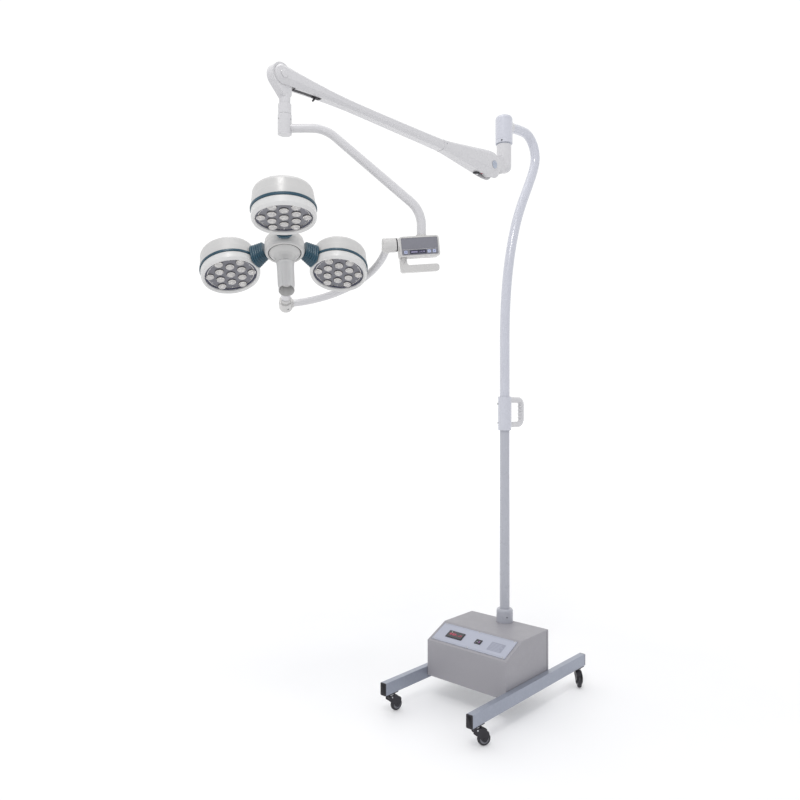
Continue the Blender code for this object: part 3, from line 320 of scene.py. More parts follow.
def lathe(profile, seg=72, loop=False):
    """A (radius, z) profile turned about Z."""
    bm = bmesh.new()
    rows = []
    for r, z in profile:
        if r < 1e-6:
            rows.append([bm.verts.new((0, 0, z))])
        else:
            rows.append([bm.verts.new((r * math.cos(2 * math.pi * k / seg), r * math.sin(2 * math.pi * k / seg), z))
                         for k in range(seg)])
    pairs = list(zip(rows, rows[1:])) + ([(rows[-1], rows[0])] if loop else [])
    for a, b in pairs:
        for k in range(seg):
            j = (k + 1) % seg
            if len(a) == 1 and len(b) == 1:
                continue
            if len(a) == 1:
                bm.faces.new((a[0], b[k], b[j]))
            elif len(b) == 1:
                bm.faces.new((a[k], b[0], a[j]))
            else:
                bm.faces.new((a[k], b[k], b[j], a[j]))
    return bm


def rounded(profile, radius=0.001, steps=3):
    """Rounds the corners of an open (r, z) profile."""
    out = [Vector(profile[0])]
    for a, b, c in zip(profile, profile[1:], profile[2:]):
        a, b, c = Vector(a), Vector(b), Vector(c)
        u, v = a - b, c - b
        if u.length < 1e-7 or v.length < 1e-7:
            continue
        corner = u.angle(v)
        if corner > math.radians(165):
            out.append(b)
            continue
        reach = min(radius / max(0.2, math.tan(corner / 2)), u.length * 0.45, v.length * 0.45)
        p, q = b + u.normalized() * reach, b + v.normalized() * reach
        for k in range(steps + 1):
            t = k / steps
            out.append(p * (1 - t) ** 2 + b * 2 * t * (1 - t) + q * t * t)
    out.append(Vector(profile[-1]))
    return [(p.x, p.y) for p in out]


def sweep(path, radii, seg=32, caps=True, squash=None):
    """A round bar along a path, with its ends closed."""
    bm = bmesh.new()
    path = [Vector(p) for p in path]
    if not isinstance(radii, (list, tuple)):
        radii = [radii] * len(path)
    tangents = []
    for i in range(len(path)):
        a, b = path[max(0, i - 1)], path[min(len(path) - 1, i + 1)]
        tangents.append((b - a).normalized())
    side = tangents[0].orthogonal().normalized()
    rows = []
    for i, (p, t, r) in enumerate(zip(path, tangents, radii)):
        if i:
            side = (side - t * side.dot(t)).normalized()
        other = t.cross(side)
        rows.append([bm.verts.new(p + (side * math.cos(2 * math.pi * k / seg) + other * math.sin(2 * math.pi * k / seg)) * r)
                     for k in range(seg)])
    for a, b in zip(rows, rows[1:]):
        for k in range(seg):
            j = (k + 1) % seg
            bm.faces.new((a[k], a[j], b[j], b[k]))
    if caps:
        bm.faces.new(rows[0][::-1])
        bm.faces.new(rows[-1])
    return bm


def loft(rings, cap0=True, cap1=True):
    bm = bmesh.new()
    rows = [[bm.verts.new(p) for p in ring] for ring in rings]
    count = len(rows[0])
    for a, b in zip(rows, rows[1:]):
        for k in range(count):
            j = (k + 1) % count
            bm.faces.new((a[k], a[j], b[j], b[k]))
    if cap0:
        bm.faces.new(rows[0][::-1])
    if cap1:
        bm.faces.new(rows[-1])
    return bm


def block(low, high, r=0.001, seg=3):
    """A box with rounded edges."""
    bm = bmesh.new()
    bmesh.ops.create_cube(bm, size=1.0)
    for v in bm.verts:
        v.co = Vector((a + b) / 2 + (b - a) * c for a, b, c in zip(low, high, v.co))
    if r:
        bmesh.ops.bevel(bm, geom=bm.edges[:], offset=r, segments=seg, affect="EDGES", profile=0.5)
    return bm


def plate(points, half, r=0.0, seg=3, hole=None):
    """A flat outline in XY, thick by half each way, with its rims rounded."""
    bm = bmesh.new()
    low = [bm.verts.new((x, y, -half)) for x, y in points]
    high = [bm.verts.new((x, y, half)) for x, y in points]
    bm.faces.new(low[::-1])
    bm.faces.new(high)
    n = len(points)
    for k in range(n):
        j = (k + 1) % n
        bm.faces.new((low[k], low[j], high[j], high[k]))
    if r:
        rims = [e for e in bm.edges if abs(e.verts[0].co.z - e.verts[1].co.z) < 1e-9]
        bmesh.ops.bevel(bm, geom=rims, offset=r, segments=seg, affect="EDGES", profile=0.5)
    return bm


def soften(points, radius, steps=4):
    """A closed outline with its corners rounded; radius may be one number or one per corner."""
    out, n = [], len(points)
    for i in range(n):
        a, b, c = Vector(points[i - 1]), Vector(points[i]), Vector(points[(i + 1) % n])
        r = radius[i] if isinstance(radius, (list, tuple)) else radius
        u, v = a - b, c - b
        corner = u.angle(v)
        if r <= 0 or corner > math.radians(172):
            out.append((b.x, b.y))
            continue
        reach = min(r / math.tan(corner / 2), u.length * 0.48, v.length * 0.48)
        p, q = b + u.normalized() * reach, b + v.normalized() * reach
        for k in range(steps + 1):
            t = k / steps
            s = p * (1 - t) ** 2 + b * 2 * t * (1 - t) + q * t * t
            out.append((s.x, s.y))
    return out


def filleted(points, radii, steps=14):
    pts = [Vector(p) for p in points]
    out = [pts[0]]
    for i in range(1, len(pts) - 1):
        a, b, c = pts[i - 1], pts[i], pts[i + 1]
        u, v = (a - b).normalized(), (c - b).normalized()
        half = u.angle(v) / 2
        reach = radii[i - 1] / math.tan(half)
        centre = b + (u + v).normalized() * (radii[i - 1] / math.sin(half))
        start, end = b + u * reach - centre, b + v * reach - centre
        total = start.angle(end)
        for k in range(steps + 1):
            t = k / steps
            out.append(centre + (start * math.sin((1 - t) * total) + end * math.sin(t * total)) / math.sin(total))
    out.append(pts[-1])
    return out


def belt(c0, r0, c1, r1, steps=24):
    c0, c1 = Vector(c0), Vector(c1)
    line = c1 - c0
    face = math.atan2(line.y, line.x)
    lean = math.acos(max(-1.0, min(1.0, (r0 - r1) / line.length)))
    pts = []
    for k in range(steps + 1):
        a = face + lean + (2 * math.pi - 2 * lean) * k / steps
        pts.append((c0.x + r0 * math.cos(a), c0.y + r0 * math.sin(a)))
    for k in range(steps + 1):
        a = face - lean + 2 * lean * k / steps
        pts.append((c1.x + r1 * math.cos(a), c1.y + r1 * math.sin(a)))
    return pts


def section(half_w, half_h, power, count):
    ring = []
    for k in range(count):
        a = 2 * math.pi * k / count
        c, s = math.cos(a), math.sin(a)
        ring.append((half_w * math.copysign(abs(c) ** (2 / power), c), half_h * math.copysign(abs(s) ** (2 / power), s)))
    return ring


def aim(point, direction):
    """A frame at a point whose Z is the direction."""
    return Matrix.Translation(point) @ Vector(direction).to_track_quat("Z", "Y").to_matrix().to_4x4()


def screw(piece, matrix, r=0.0035, h=0.0016, mat=None, dark=None, seg=28, cross=True):
    """A pan-head screw with a recess, its head standing up along Z."""
    mat, dark = mat or STEEL, dark or DARK_STEEL
    piece.add(lathe([(0.0, -0.0006), (r, -0.0006), (r, h * 0.35), (r * 0.90, h * 0.72), (r * 0.62, h), (r * 0.40, h),
                     (r * 0.36, h * 0.35), (0.0, h * 0.30)], seg), matrix, mat)
    if cross:
        for a in (0, 90):
            piece.add(block((-r * 0.52, -r * 0.10, h * 0.30), (r * 0.52, r * 0.10, h * 0.99 + 0.00004), 0), matrix @ turn(a, "Z"), dark)


def disc_ring(r0, r1, z0, z1, seg=72):
    return lathe([(r0, z0), (r1, z0), (r1, z1), (r0, z1)], seg, loop=True)


# ------------------------------------------------------------------ base rails
RAIL_MID, RAIL_Z0, RAIL_Z1 = 0.2125, 0.076, 0.126
CASTOR_Y = (-0.500, 0.252)
for side, sign in (("left", -1), ("right", 1)):
    x = sign * RAIL_MID
    rail = Piece(side + "_rail_skin")
    # a square tube drawn as four walls, so that its mouth is open behind the end caps
    outer = soften([(x - 0.014, RAIL_Z0), (x + 0.014, RAIL_Z0), (x + 0.014, RAIL_Z1), (x - 0.014, RAIL_Z1)], 0.0028, 5)
    inner = soften([(x - 0.0115, RAIL_Z0 + 0.0025), (x + 0.0115, RAIL_Z0 + 0.0025), (x + 0.0115, RAIL_Z1 - 0.0025), (x - 0.0115, RAIL_Z1 - 0.0025)], 0.0012, 5)
    bm = bmesh.new()
    rows = []
    for ring, ys in ((outer, (-0.538, 0.292)), (inner, (0.292, -0.538))):
        for y in ys:
            rows.append([bm.verts.new((px, y, pz)) for px, pz in ring])
    for a, b in zip(rows, rows[1:] + rows[:1]):
        for k in range(len(a)):
            j = (k + 1) % len(a)
            bm.faces.new((a[k], a[j], b[j], b[k]))
    rail.add(bm, BASE, RAIL)
    for y in CASTOR_Y:
        rail.add(block((x - 0.0135, y - 0.034, RAIL_Z0 - 0.0034), (x + 0.0135, y + 0.034, RAIL_Z0 + 0.0004), 0.0007, 2), BASE, BLACK)
        for dy in (-0.028, 0.028):
            screw(rail, BASE @ Matrix.Translation((x, y + dy, RAIL_Z0 - 0.0033)) @ turn(180, "X"), 0.0042, 0.0018)
    # weld beads where the rail meets the tray
    inside = x - sign * 0.014
    for y0, y1 in ((-0.262, -0.200), (-0.060, 0.002)):
        bead = [(inside + sign * 0.0004, y0 + (y1 - y0) * k / 24, 0.1015 + 0.0004 * math.sin(k * 2.1)) for k in range(25)]
        rail.add(sweep(bead, [0.0016 + 0.0003 * math.sin(k * 1.7) for k in range(25)], 10), BASE, RAIL)
    rail.done("cart", side + "_rail", slot="rail")
    for end, y, way in (("front", -0.538, -1), ("rear", 0.292, 1)):
        cap = Piece(f"{side}_{end}_cap_skin")
        a, b = sorted((y + way * 0.0004, y + way * 0.0040))
        cap.add(plate(soften([(x - 0.0139, RAIL_Z0 + 0.0001), (x + 0.0139, RAIL_Z0 + 0.0001), (x + 0.0139, RAIL_Z1 - 0.0001), (x - 0.0139, RAIL_Z1 - 0.0001)], 0.0030, 5), (b - a) / 2, 0.0011, 3),
                BASE @ move(y=(a + b) / 2) @ XZ, BLACK)
        # a shallow raised field on the face and a plug inside
        cap.add(plate(soften([(x - 0.0105, RAIL_Z0 + 0.0035), (x + 0.0105, RAIL_Z0 + 0.0035), (x + 0.0105, RAIL_Z1 - 0.0035), (x - 0.0105, RAIL_Z1 - 0.0035)], 0.002, 4), 0.0002, 0.00012, 1),
                BASE @ move(y=y + way * 0.0038) @ XZ, BLACK)
        a, b = sorted((y + way * 0.0008, y - way * 0.014))
        cap.add(block((x - 0.0110, a, RAIL_Z0 + 0.0031), (x + 0.0110, b, RAIL_Z1 - 0.0031), 0.0008, 2), BASE, BLACK)
        cap.done("cart", f"{side}_{end}_rail_cap", slot="black_plastic")

# ------------------------------------------------------------------ battery box
BX, BY0, BY1, BZ0, BZ1 = 0.198, -0.2855, 0.0304, 0.0915, 0.2926
SY, SZ = -0.1691, 0.2394
cover = Piece("box_cover_skin")
prof = [(BY0, BZ0), (BY0, SZ), (SY, BZ1), (BY1, BZ1), (BY1, BZ0)]
shape = soften(prof, [0.0004, 0.0035, 0.0035, 0.0035, 0.0004], 5)
inner_prof = soften([(BY0 + 0.002, BZ0), (BY0 + 0.002, SZ - 0.0009), (SY + 0.0007, BZ1 - 0.002), (BY1 - 0.002, BZ1 - 0.002), (BY1 - 0.002, BZ0)],
                    [0.0002, 0.002, 0.002, 0.002, 0.0002], 5)
# the folded sheet: its outer skin ends in two cheeks with a rounded fold line
bm = bmesh.new()
xs = [(-BX, 0.0026), (-BX + 0.0005, 0.0010), (-BX + 0.0016, 0.0002), (-BX + 0.0034, 0.0), (BX - 0.0034, 0.0), (BX - 0.0016, 0.0002), (BX - 0.0005, 0.0010), (BX, 0.0026)]
middle = Vector((-0.125, 0.19))
rows = []
for x, inset in xs:
    row = []
    for y, z in shape:
        d = Vector((y, z)) - middle
        if z <= BZ0 + 0.0012:
            row.append(bm.verts.new((x, y - math.copysign(inset, d.x), z)))
        else:
            row.append(bm.verts.new((x, y - inset * d.x / d.length * 1.2, z - inset * max(0.0, d.y) / d.length * 1.4)))
    rows.append(row)
for a, b in zip(rows, rows[1:]):
    for k in range(len(a) - 1):
        bm.faces.new((a[k], a[k + 1], b[k + 1], b[k]))
bm.faces.new(rows[0])
bm.faces.new(rows[-1][::-1])
# the turned-in hem round the open underside
cover.add(bm, BASE, BOX_GREY)
for lowp, highp in (((-BX + 0.001, BY0 + 0.0006, BZ0), (BX - 0.001, BY0 + 0.014, BZ0 + 0.0020)), ((-BX + 0.001, BY1 - 0.014, BZ0), (BX - 0.001, BY1 - 0.0006, BZ0 + 0.0020)),
                    ((-BX + 0.0006, BY0 + 0.014, BZ0), (-BX + 0.014, BY1 - 0.014, BZ0 + 0.0020)), ((BX - 0.014, BY0 + 0.014, BZ0), (BX - 0.0006, BY1 - 0.014, BZ0 + 0.0020))):
    cover.add(block(lowp, highp, 0.0005, 2), BASE, BOX_GREY)
# a seam strip down the back corner of each cheek, and vents low on the back
for sign in (-1, 1):
    cover.add(block((sign * BX - 0.0006, BY1 - 0.0155, BZ0 + 0.004), (sign * BX + 0.0004, BY1 - 0.0142, BZ1 - 0.006), 0.0002, 1), BASE, BLACK)
for k in range(9):
    z = 0.205 + 0.008 * k
    cover.add(block((0.060, BY1 - 0.0004, z), (0.150, BY1 + 0.0003, z + 0.0032), 0.0002, 1), BASE, BLACK_GLOSS)
for x, z in ((-0.180, 0.110), (0.180, 0.110), (-0.180, 0.270), (0.180, 0.270)):
    screw(cover, BASE @ Matrix.Translation((x, BY1, z)) @ turn(-90, "X"), 0.0036, 0.0016)
for sign in (-1, 1):
    for y in (-0.255, -0.010):
        screw(cover, BASE @ Matrix.Translation((sign * (BX - 0.0002), y, 0.108)) @ turn(90 * sign, "Y"), 0.0034, 0.0015)
cover.done("cart", "box_cover", slot="box_paint", angle=28)

panel = Piece("control_panel_skin")
panel.add(plate(soften([(-0.184, -0.052), (0.184, -0.052), (0.184, 0.052), (-0.184, 0.052)], 0.0035, 5), 0.0009, 0.0005, 2),
          SLOPE @ move(z=0.0011), PANEL)
for lowp, highp in (((-0.1836, 0.0508, 0.0014), (0.1836, 0.0517, 0.00205)), ((-0.1836, -0.0517, 0.0014), (0.1836, -0.0508, 0.00205)),
                    ((-0.1836, -0.0517, 0.0014), (-0.1827, 0.0517, 0.00205)), ((0.1827, -0.0517, 0.0014), (0.1836, 0.0517, 0.00205))):
    panel.add(block(lowp, highp, 0.0001, 1), SLOPE, DARK_STEEL)
# engraved border lines along the long edges
for v in (-0.0445, 0.0455):
    panel.add(block((-0.178, v - 0.0006, 0.0018), (0.178, v + 0.0006, 0.00215), 0.0001, 1), SLOPE, PANEL_INK)
for u, v in ((-0.172, 0.0475), (0.0, 0.0475), (0.172, 0.0475), (-0.172, -0.0475), (0.0, -0.0475), (0.172, -0.0475)):
    screw(panel, SLOPE @ Matrix.Translation((u, v, 0.0018)), 0.0042, 0.0019, STEEL, DARK_STEEL)
# a plain ruled field at the right, with no lettering
panel.add(plate(soften([(0.083, -0.0290), (0.150, -0.0290), (0.150, 0.0180), (0.083, 0.0180)], 0.002, 3), 0.00015, 0.0), SLOPE @ move(z=0.00215), PANEL_INK)
for k in range(6):
    panel.add(block((0.087, -0.0250 + 0.0070 * k, 0.0022), (0.146 - 0.006 * (k % 3), -0.0234 + 0.0070 * k, 0.0024), 0), SLOPE, PANEL)
# raised rim round the display
for lowp, highp in (((-0.1310, 0.0140, 0.0018), (-0.0490, 0.0168, 0.0044)), ((-0.1310, -0.0228, 0.0018), (-0.0490, -0.0200, 0.0044)),
                    ((-0.1310, -0.0202, 0.0018), (-0.1282, 0.0142, 0.0044)), ((-0.0518, -0.0202, 0.0018), (-0.0490, 0.0142, 0.0044))):
    panel.add(block(lowp, highp, 0.0006, 2), SLOPE, BLACK)
# frame of the rocker
for lowp, highp in (((0.0130, 0.0046, 0.0016), (0.0430, 0.0086, 0.0042)), ((0.0130, -0.0166, 0.0016), (0.0430, -0.0126, 0.0042)),
                    ((0.0130, -0.0128, 0.0016), (0.0166, 0.0048, 0.0042)), ((0.0394, -0.0128, 0.0016), (0.0430, 0.0048, 0.0042))):
    panel.add(block(lowp, highp, 0.0008, 2), SLOPE, BLACK_GLOSS)
panel.done("cart", "control_panel", slot="panel")

display = Piece("display_window_skin")
display.add(block((-0.1280, -0.0200, 0.0024), (-0.0520, 0.0140, 0.0050), 0.0008, 2), SLOPE, BLACK_GLOSS)
# lit bars and a scale behind the window: plain segments, no text
display.add(block((-0.1190, -0.0085, 0.0049), (-0.0870, 0.0035, 0.0052), 0.0001, 1), SLOPE, RED_GLOW)
for k in range(8):
    display.add(block((-0.0840 + 0.0034 * k, -0.0085, 0.0049), (-0.0817 + 0.0034 * k, -0.0045 + 0.0011 * k, 0.0052), 0.0001, 1), SLOPE, RED_GLOW)
for k in range(3):
    display.add(lathe([(0.0, 0.0052), (0.0012, 0.0052), (0.0012, 0.0049)], 20), SLOPE @ move(-0.1130 + 0.007 * k, 0.0085), LED if k == 0 else RED_GLOW)
display.done("cart", "display_window", slot="display")

rocker_at = SLOPE @ move(0.028, -0.004, -0.0010)
rocker = Piece("rocker_skin")
pts = soften([(-0.0100, -0.0060), (-0.0100, 0.0044), (0.0, 0.0030), (0.0100, 0.0064), (0.0100, -0.0060)], [0.0004, 0.0012, 0.006, 0.0012, 0.0004], 5)
rocker.add(plate(pts, 0.0072, 0.0006, 2), rocker_at @ basis((1, 0, 0), (0, 0, 1), (0, -1, 0), (0, 0, 0)), BLACK_GLOSS)
rocker.add(block((0.0032, -0.0046, 0.0040), (0.0070, 0.0046, 0.0056), 0.0006, 2), rocker_at, ROCKER_GLOW)
rocker.add(lathe([(0.0, 0.0044), (0.0018, 0.0043), (0.0020, 0.0034)], 24), rocker_at @ move(-0.0055), PANEL)
rocker.done("rocker", "rocker_switch", slot="black_plastic")

inlet = Piece("mains_inlet_skin")
ring = [((-0.110, BY1 + 0.0004, 0.128), (-0.0962, BY1 + 0.0034, 0.160)), ((-0.0738, BY1 + 0.0004, 0.128), (-0.060, BY1 + 0.0034, 0.160)),
        ((-0.0966, BY1 + 0.0004, 0.128), (-0.0734, BY1 + 0.0034, 0.1357)), ((-0.0966, BY1 + 0.0004, 0.1523), (-0.0734, BY1 + 0.0034, 0.160))]
for lowp, highp in ring:
    inlet.add(block(lowp, highp, 0.0008, 2), BASE, BLACK)
for lowp, highp in (((-0.0985, BY1 - 0.020, 0.133), (-0.0960, BY1 + 0.001, 0.155)), ((-0.0740, BY1 - 0.020, 0.133), (-0.0715, BY1 + 0.001, 0.155)),
                    ((-0.0962, BY1 - 0.020, 0.133), (-0.0738, BY1 + 0.001, 0.1355)), ((-0.0962, BY1 - 0.020, 0.1525), (-0.0738, BY1 + 0.001, 0.155)),
                    ((-0.0962, BY1 - 0.020, 0.1350), (-0.0738, BY1 - 0.016, 0.1530))):
    inlet.add(block(lowp, highp, 0.0003, 1), BASE, BLACK)
for dx, dz in ((-0.0070, 0.0), (0.0070, 0.0), (0.0, 0.0030)):
    inlet.add(block((-0.085 + dx - 0.0010, BY1 - 0.0165, 0.1440 + dz - 0.0024), (-0.085 + dx + 0.0010, BY1 - 0.004, 0.1440 + dz + 0.0024), 0.0004, 2), BASE, STEEL)
for x in (-0.1040, -0.0660):
    screw(inlet, BASE @ Matrix.Translation((x, BY1 + 0.0033, 0.144)) @ turn(-90, "X"), 0.0028, 0.0014)
inlet.done("cart", "mains_inlet", slot="black_plastic")

pan = Piece("base_pan_skin")
pan.add(block((-0.1955, BY0 + 0.0024, BZ0), (0.1955, BY1 - 0.0024, BZ0 + 0.010), 0.0008, 2), BASE, STEEL)
for sign in (-1, 1):
    pan.add(block(tuple(min(a, b) for a, b in zip((sign * 0.1955, BY0 + 0.03, BZ0 + 0.008), (sign * 0.1925, BY1 - 0.03, BZ0 + 0.036))),
                  tuple(max(a, b) for a, b in zip((sign * 0.1955, BY0 + 0.03, BZ0 + 0.008), (sign * 0.1925, BY1 - 0.03, BZ0 + 0.036))), 0.0006, 2), BASE, STEEL)
for x in (-0.16, -0.05, 0.05, 0.16):
    for y in (-0.262, 0.006):
        screw(pan, BASE @ Matrix.Translation((x, y, BZ0 + 0.0002)) @ turn(180, "X"), 0.0045, 0.0022)
for k in range(5):
    pan.add(block((-0.060 + 0.026 * k, -0.160, BZ0 - 0.0004), (-0.052 + 0.026 * k, -0.090, BZ0 + 0.0006), 0.0002, 1), BASE, DARK_STEEL)
pan.done("cart", "base_pan", slot="steel_plate")

battery = Piece("battery_pack_skin")
battery.add(block((-0.180, -0.250, 0.1019), (0.030, -0.120, 0.200), 0.004, 3), BASE, BATTERY)
battery.add(block((-0.172, -0.242, 0.1990), (0.022, -0.128, 0.2046), 0.002, 2), BASE, BATTERY)
for x, mat in ((-0.150, RED_GLOW), (0.0, BLACK_GLOSS)):
    battery.add(block((x - 0.006, -0.236, 0.2000), (x + 0.006, -0.226, 0.2050), 0.0008, 2), BASE, mat)
battery.done("cart", "battery_pack", slot="battery")
charger = Piece("charger_unit_skin")
charger.add(block((0.055, -0.250, 0.1019), (0.180, -0.100, 0.1636), 0.0022, 3), BASE, STEEL)
for k in range(10):
    charger.add(block((0.066 + 0.0105 * k, -0.235, 0.1632), (0.0705 + 0.0105 * k, -0.115, 0.1649), 0.0004, 1), BASE, DARK_STEEL)
charger.done("cart", "charger_unit", slot="charger")

# ------------------------------------------------------------------ castors
WHEEL_R, WHEEL_W, TRAIL, STEM_TOP = 0.025, 0.019, 0.029, 0.0722
TURNS = {"fr": (1, CASTOR_Y[0], 54.0, "front_right"), "fl": (-1, CASTOR_Y[0], 76.5, "front_left"),
         "rr": (1, CASTOR_Y[1], -49.0, "rear_right"), "rl": (-1, CASTOR_Y[1], -62.0, "rear_left")}
for tag, (sign, y, angle, body) in TURNS.items():
    at = BASE @ move(sign * RAIL_MID, y, 0) @ turn(angle, "Z")
    fork = Piece("castor_fork_skin_" + tag)
    fork.add(lathe(rounded([(0.0, STEM_TOP - 0.0094), (0.0128, STEM_TOP - 0.0094), (0.0128, STEM_TOP), (0.0, STEM_TOP)], 0.0012), 48), at, BLACK)
    fork.add(disc_ring(0.0095, 0.0136, STEM_TOP - 0.0022, STEM_TOP - 0.0004, 48), at, STEEL)
    legs = soften([(-0.0135, STEM_TOP - 0.0230), (-0.0135, STEM_TOP - 0.0060), (0.0220, STEM_TOP - 0.0060), (0.0470, STEM_TOP - 0.0210),
                   (0.0450, 0.0340), (0.0360, 0.0180), (0.0290, 0.0150), (0.0205, 0.0190), (0.0080, 0.0340)], [0.004, 0.004, 0.014, 0.012, 0.010, 0.006, 0.007, 0.008, 0.012], 6)
    for s in (-1, 1):
        # one cheek each side of the wheel, dished round the axle
        fork.add(plate(legs, 0.00135, 0.0008, 2), at @ move(y=s * (WHEEL_W / 2 + 0.0020)) @ XZ, BLACK)
        fork.add(lathe(rounded([(0.0, 0.0022), (0.0052, 0.0022), (0.0064, 0.0), (0.0064, -0.001)], 0.0006), 36), at @ Matrix.Translation((TRAIL, s * (WHEEL_W / 2 + 0.0028), WHEEL_R)) @ turn(-90 * s, "X"), BLACK)
        fork.add(lathe([(0.0, 0.0024), (0.0026, 0.0024), (0.0030, 0.0018), (0.0030, 0.0)], 6), at @ Matrix.Translation((TRAIL, s * (WHEEL_W / 2 + 0.0022), WHEEL_R)) @ turn(-90 * s, "X"), STEEL)
        # the hood that shows beside the wheel
        fork.add(lathe([(0.0, 0.0009), (0.0022, 0.0008), (0.0030, 0.0)], 24),
                 at @ Matrix.Translation((0.0030, s * (WHEEL_W / 2 + 0.0033), STEM_TOP - 0.0125)) @ turn(-90 * s, "X"), STEEL)
    # crown over the wheel: an arched roof that joins the cheeks
    roof = []
    for k in range(15):
        a = math.radians(150 - 118 * k / 14)
        roof.append((TRAIL + 0.0272 * math.cos(a), WHEEL_R + 0.0272 * math.sin(a)))
    crown = [p for p in roof if p[0] <= 0.0385] + [(0.0392, STEM_TOP - 0.0222), (0.0195, STEM_TOP - 0.0074), (-0.0115, STEM_TOP - 0.0074), (-0.0115, STEM_TOP - 0.0165)]
    fork.add(plate(crown, WHEEL_W / 2 + 0.0012, 0.0), at @ XZ, BLACK)
    fork.done(body + "_castor", "castor_fork_" + tag, slot="black_plastic")

    spin = at @ move(TRAIL, 0, WHEEL_R) @ turn(-90, "X")
    wheel = Piece("castor_wheel_skin_" + tag)
    h = WHEEL_W / 2
    tread = []
    for k in range(13):
        a = math.radians(-90 + 180 * k / 12)
        tread.append((WHEEL_R - 0.0040 + 0.0040 * math.cos(a), (h - 0.0022) * math.sin(a) + 0.0))
    wheel.add(lathe([(0.0168, -h + 0.0012)] + tread + [(0.0168, h - 0.0012)], 64), spin, TYRE)
    for s in (-1, 1):
        dish = [(0.0046, s * (h - 0.0010)), (0.0072, s * (h - 0.0010)), (0.0080, s * (h - 0.0026)), (0.0142, s * (h - 0.0034)), (0.0156, s * (h - 0.0014)), (0.0170, s * (h - 0.0014)), (0.0172, s * (h - 0.0030))]
        wheel.add(lathe(rounded(dish, 0.0005, 2), 64), spin, HUB_GREY)
        for k in range(5):
            wheel.add(block((0.0078, -0.0008, s * (h - 0.0028) - 0.0005), (0.0150, 0.0008, s * (h - 0.0028) + 0.0007), 0.0003, 1), spin @ turn(72 * k + 18, "Z"), HUB_GREY)
    wheel.add(lathe([(0.0046, -h + 0.0010), (0.0046, h - 0.0010)], 40), spin, HUB_GREY)
    wheel.done(body + "_wheel", "castor_wheel_" + tag, slot="castor_tyre")

# ------------------------------------------------------------------ mast
MAST_R = 0.021
collar = Piece("mast_collar_skin")
collar.add(lathe(rounded([(MAST_R + 0.0004, 0.350), (0.0290, 0.350), (0.0335, 0.3465), (0.0355, 0.3400), (0.0355, 0.2930), (MAST_R + 0.0004, 0.2930)], 0.0012), 96), BASE, MAST_GREY)
collar.add(disc_ring(0.0350, 0.0362, 0.2930, 0.2952, 96), BASE, MAST_GREY)
for a in (200, 320, 80):
    c = Vector((math.cos(math.radians(a)), math.sin(math.radians(a)), 0))
    collar.add(lathe([(0.0, 0.0004), (0.0030, 0.0004), (0.0030, -0.001)], 6), BASE @ aim(c * 0.0353 + Vector((0, 0, 0.318)), c), DARK_STEEL)
collar.done("cart", "mast_collar", slot="mast_paint")

lower = Piece("lower_mast_skin")
lower.add(lathe([(0.0, 0.1025), (MAST_R, 0.1025), (MAST_R, 1.1900), (MAST_R - 0.0025, 1.1900), (MAST_R - 0.0025, 0.1040)], 96), BASE, MAST_GREY)
lower.done("cart", "lower_mast", slot="mast_paint")

sleeve = Piece("clamp_sleeve_skin")
sleeve.add(lathe(rounded([(MAST_R + 0.0004, 1.266), (0.0290, 1.266), (0.0290, 1.2080), (0.0284, 1.2074), (0.0284, 1.2062), (0.0290, 1.2056), (0.0290, 1.120), (MAST_R + 0.0004, 1.120)], 0.0016), 96), BASE, TUBE_WHITE)
for z in (1.235, 1.152):
    d = Vector((-0.83, -0.55, 0)).normalized()
    sleeve.add(lathe(rounded([(0.0, 0.0022), (0.0042, 0.0022), (0.0046, -0.0004)], 0.0005), 32), BASE @ aim(d * 0.0288 + Vector((0, 0, z)), d), DARK_STEEL)
    sleeve.add(lathe([(0.0, 0.0010), (0.0022, 0.0010), (0.0022, 0.0023), (0.0026, 0.00232)], 6), BASE @ aim(d * 0.0288 + Vector((0, 0, z)), d), BLACK_GLOSS)
# the handle's two feet, cast on to the sleeve
for z in (1.1435, 1.2515):
    sleeve.add(lathe(rounded([(0.0, -0.004), (0.0135, -0.004), (0.0122, 0.0010), (0.0, 0.0010)], 0.001), 40), BASE @ aim((0, 0.0280, z), (0, 1, 0)), TUBE_WHITE)
sleeve.done("cart", "clamp_sleeve", slot="casting")

push = Piece("push_handle_skin")
HZ0, HZ1, HY = 1.1435, 1.2515, 0.1290
path = filleted([(0, 0.0295, HZ1), (0, HY, HZ1), (0, HY, HZ0), (0, 0.0295, HZ0)], [0.024, 0.024], 12)
fine = []
for a, b in zip(path, path[1:]):
    n = max(1, int((b - a).length / 0.0022))
    fine += [a.lerp(b, k / n) for k in range(n)]
fine.append(path[-1])
push.add(sweep(fine, [0.0128] * len(fine), 40), BASE, WHITE)
# finger swells along the inner face of the upright
for k in range(4):
    z = HZ0 + 0.030 + 0.0160 * k
    swell = []
    for j in range(13):
        a = math.pi * j / 12
        swell.append((0.0022 + 0.0108 * math.sin(a), 0.0080 * math.cos(a)))
    push.add(lathe([(0.0, -0.0078)] + [(r, -zz) for r, zz in swell[1:-1]] + [(0.0, 0.0078)], 32), BASE @ Matrix.Translation((0, HY - 0.0036, z)), WHITE)
push.done("cart", "push_handle", slot="handle_paint")


def bezier(knots, steps):
    out = []
    for (p0, _, h0), (p1, h3, _) in zip(knots, knots[1:]):
        p0, h0, h3, p1 = map(Vector, (p0, h0, h3, p1))
        for k in range(steps):
            t = k / steps
            s = 1 - t
            out.append(s ** 3 * p0 + 3 * s * s * t * h0 + 3 * s * t * t * h3 + t ** 3 * p1)
    out.append(Vector(knots[-1][0]))
    return out


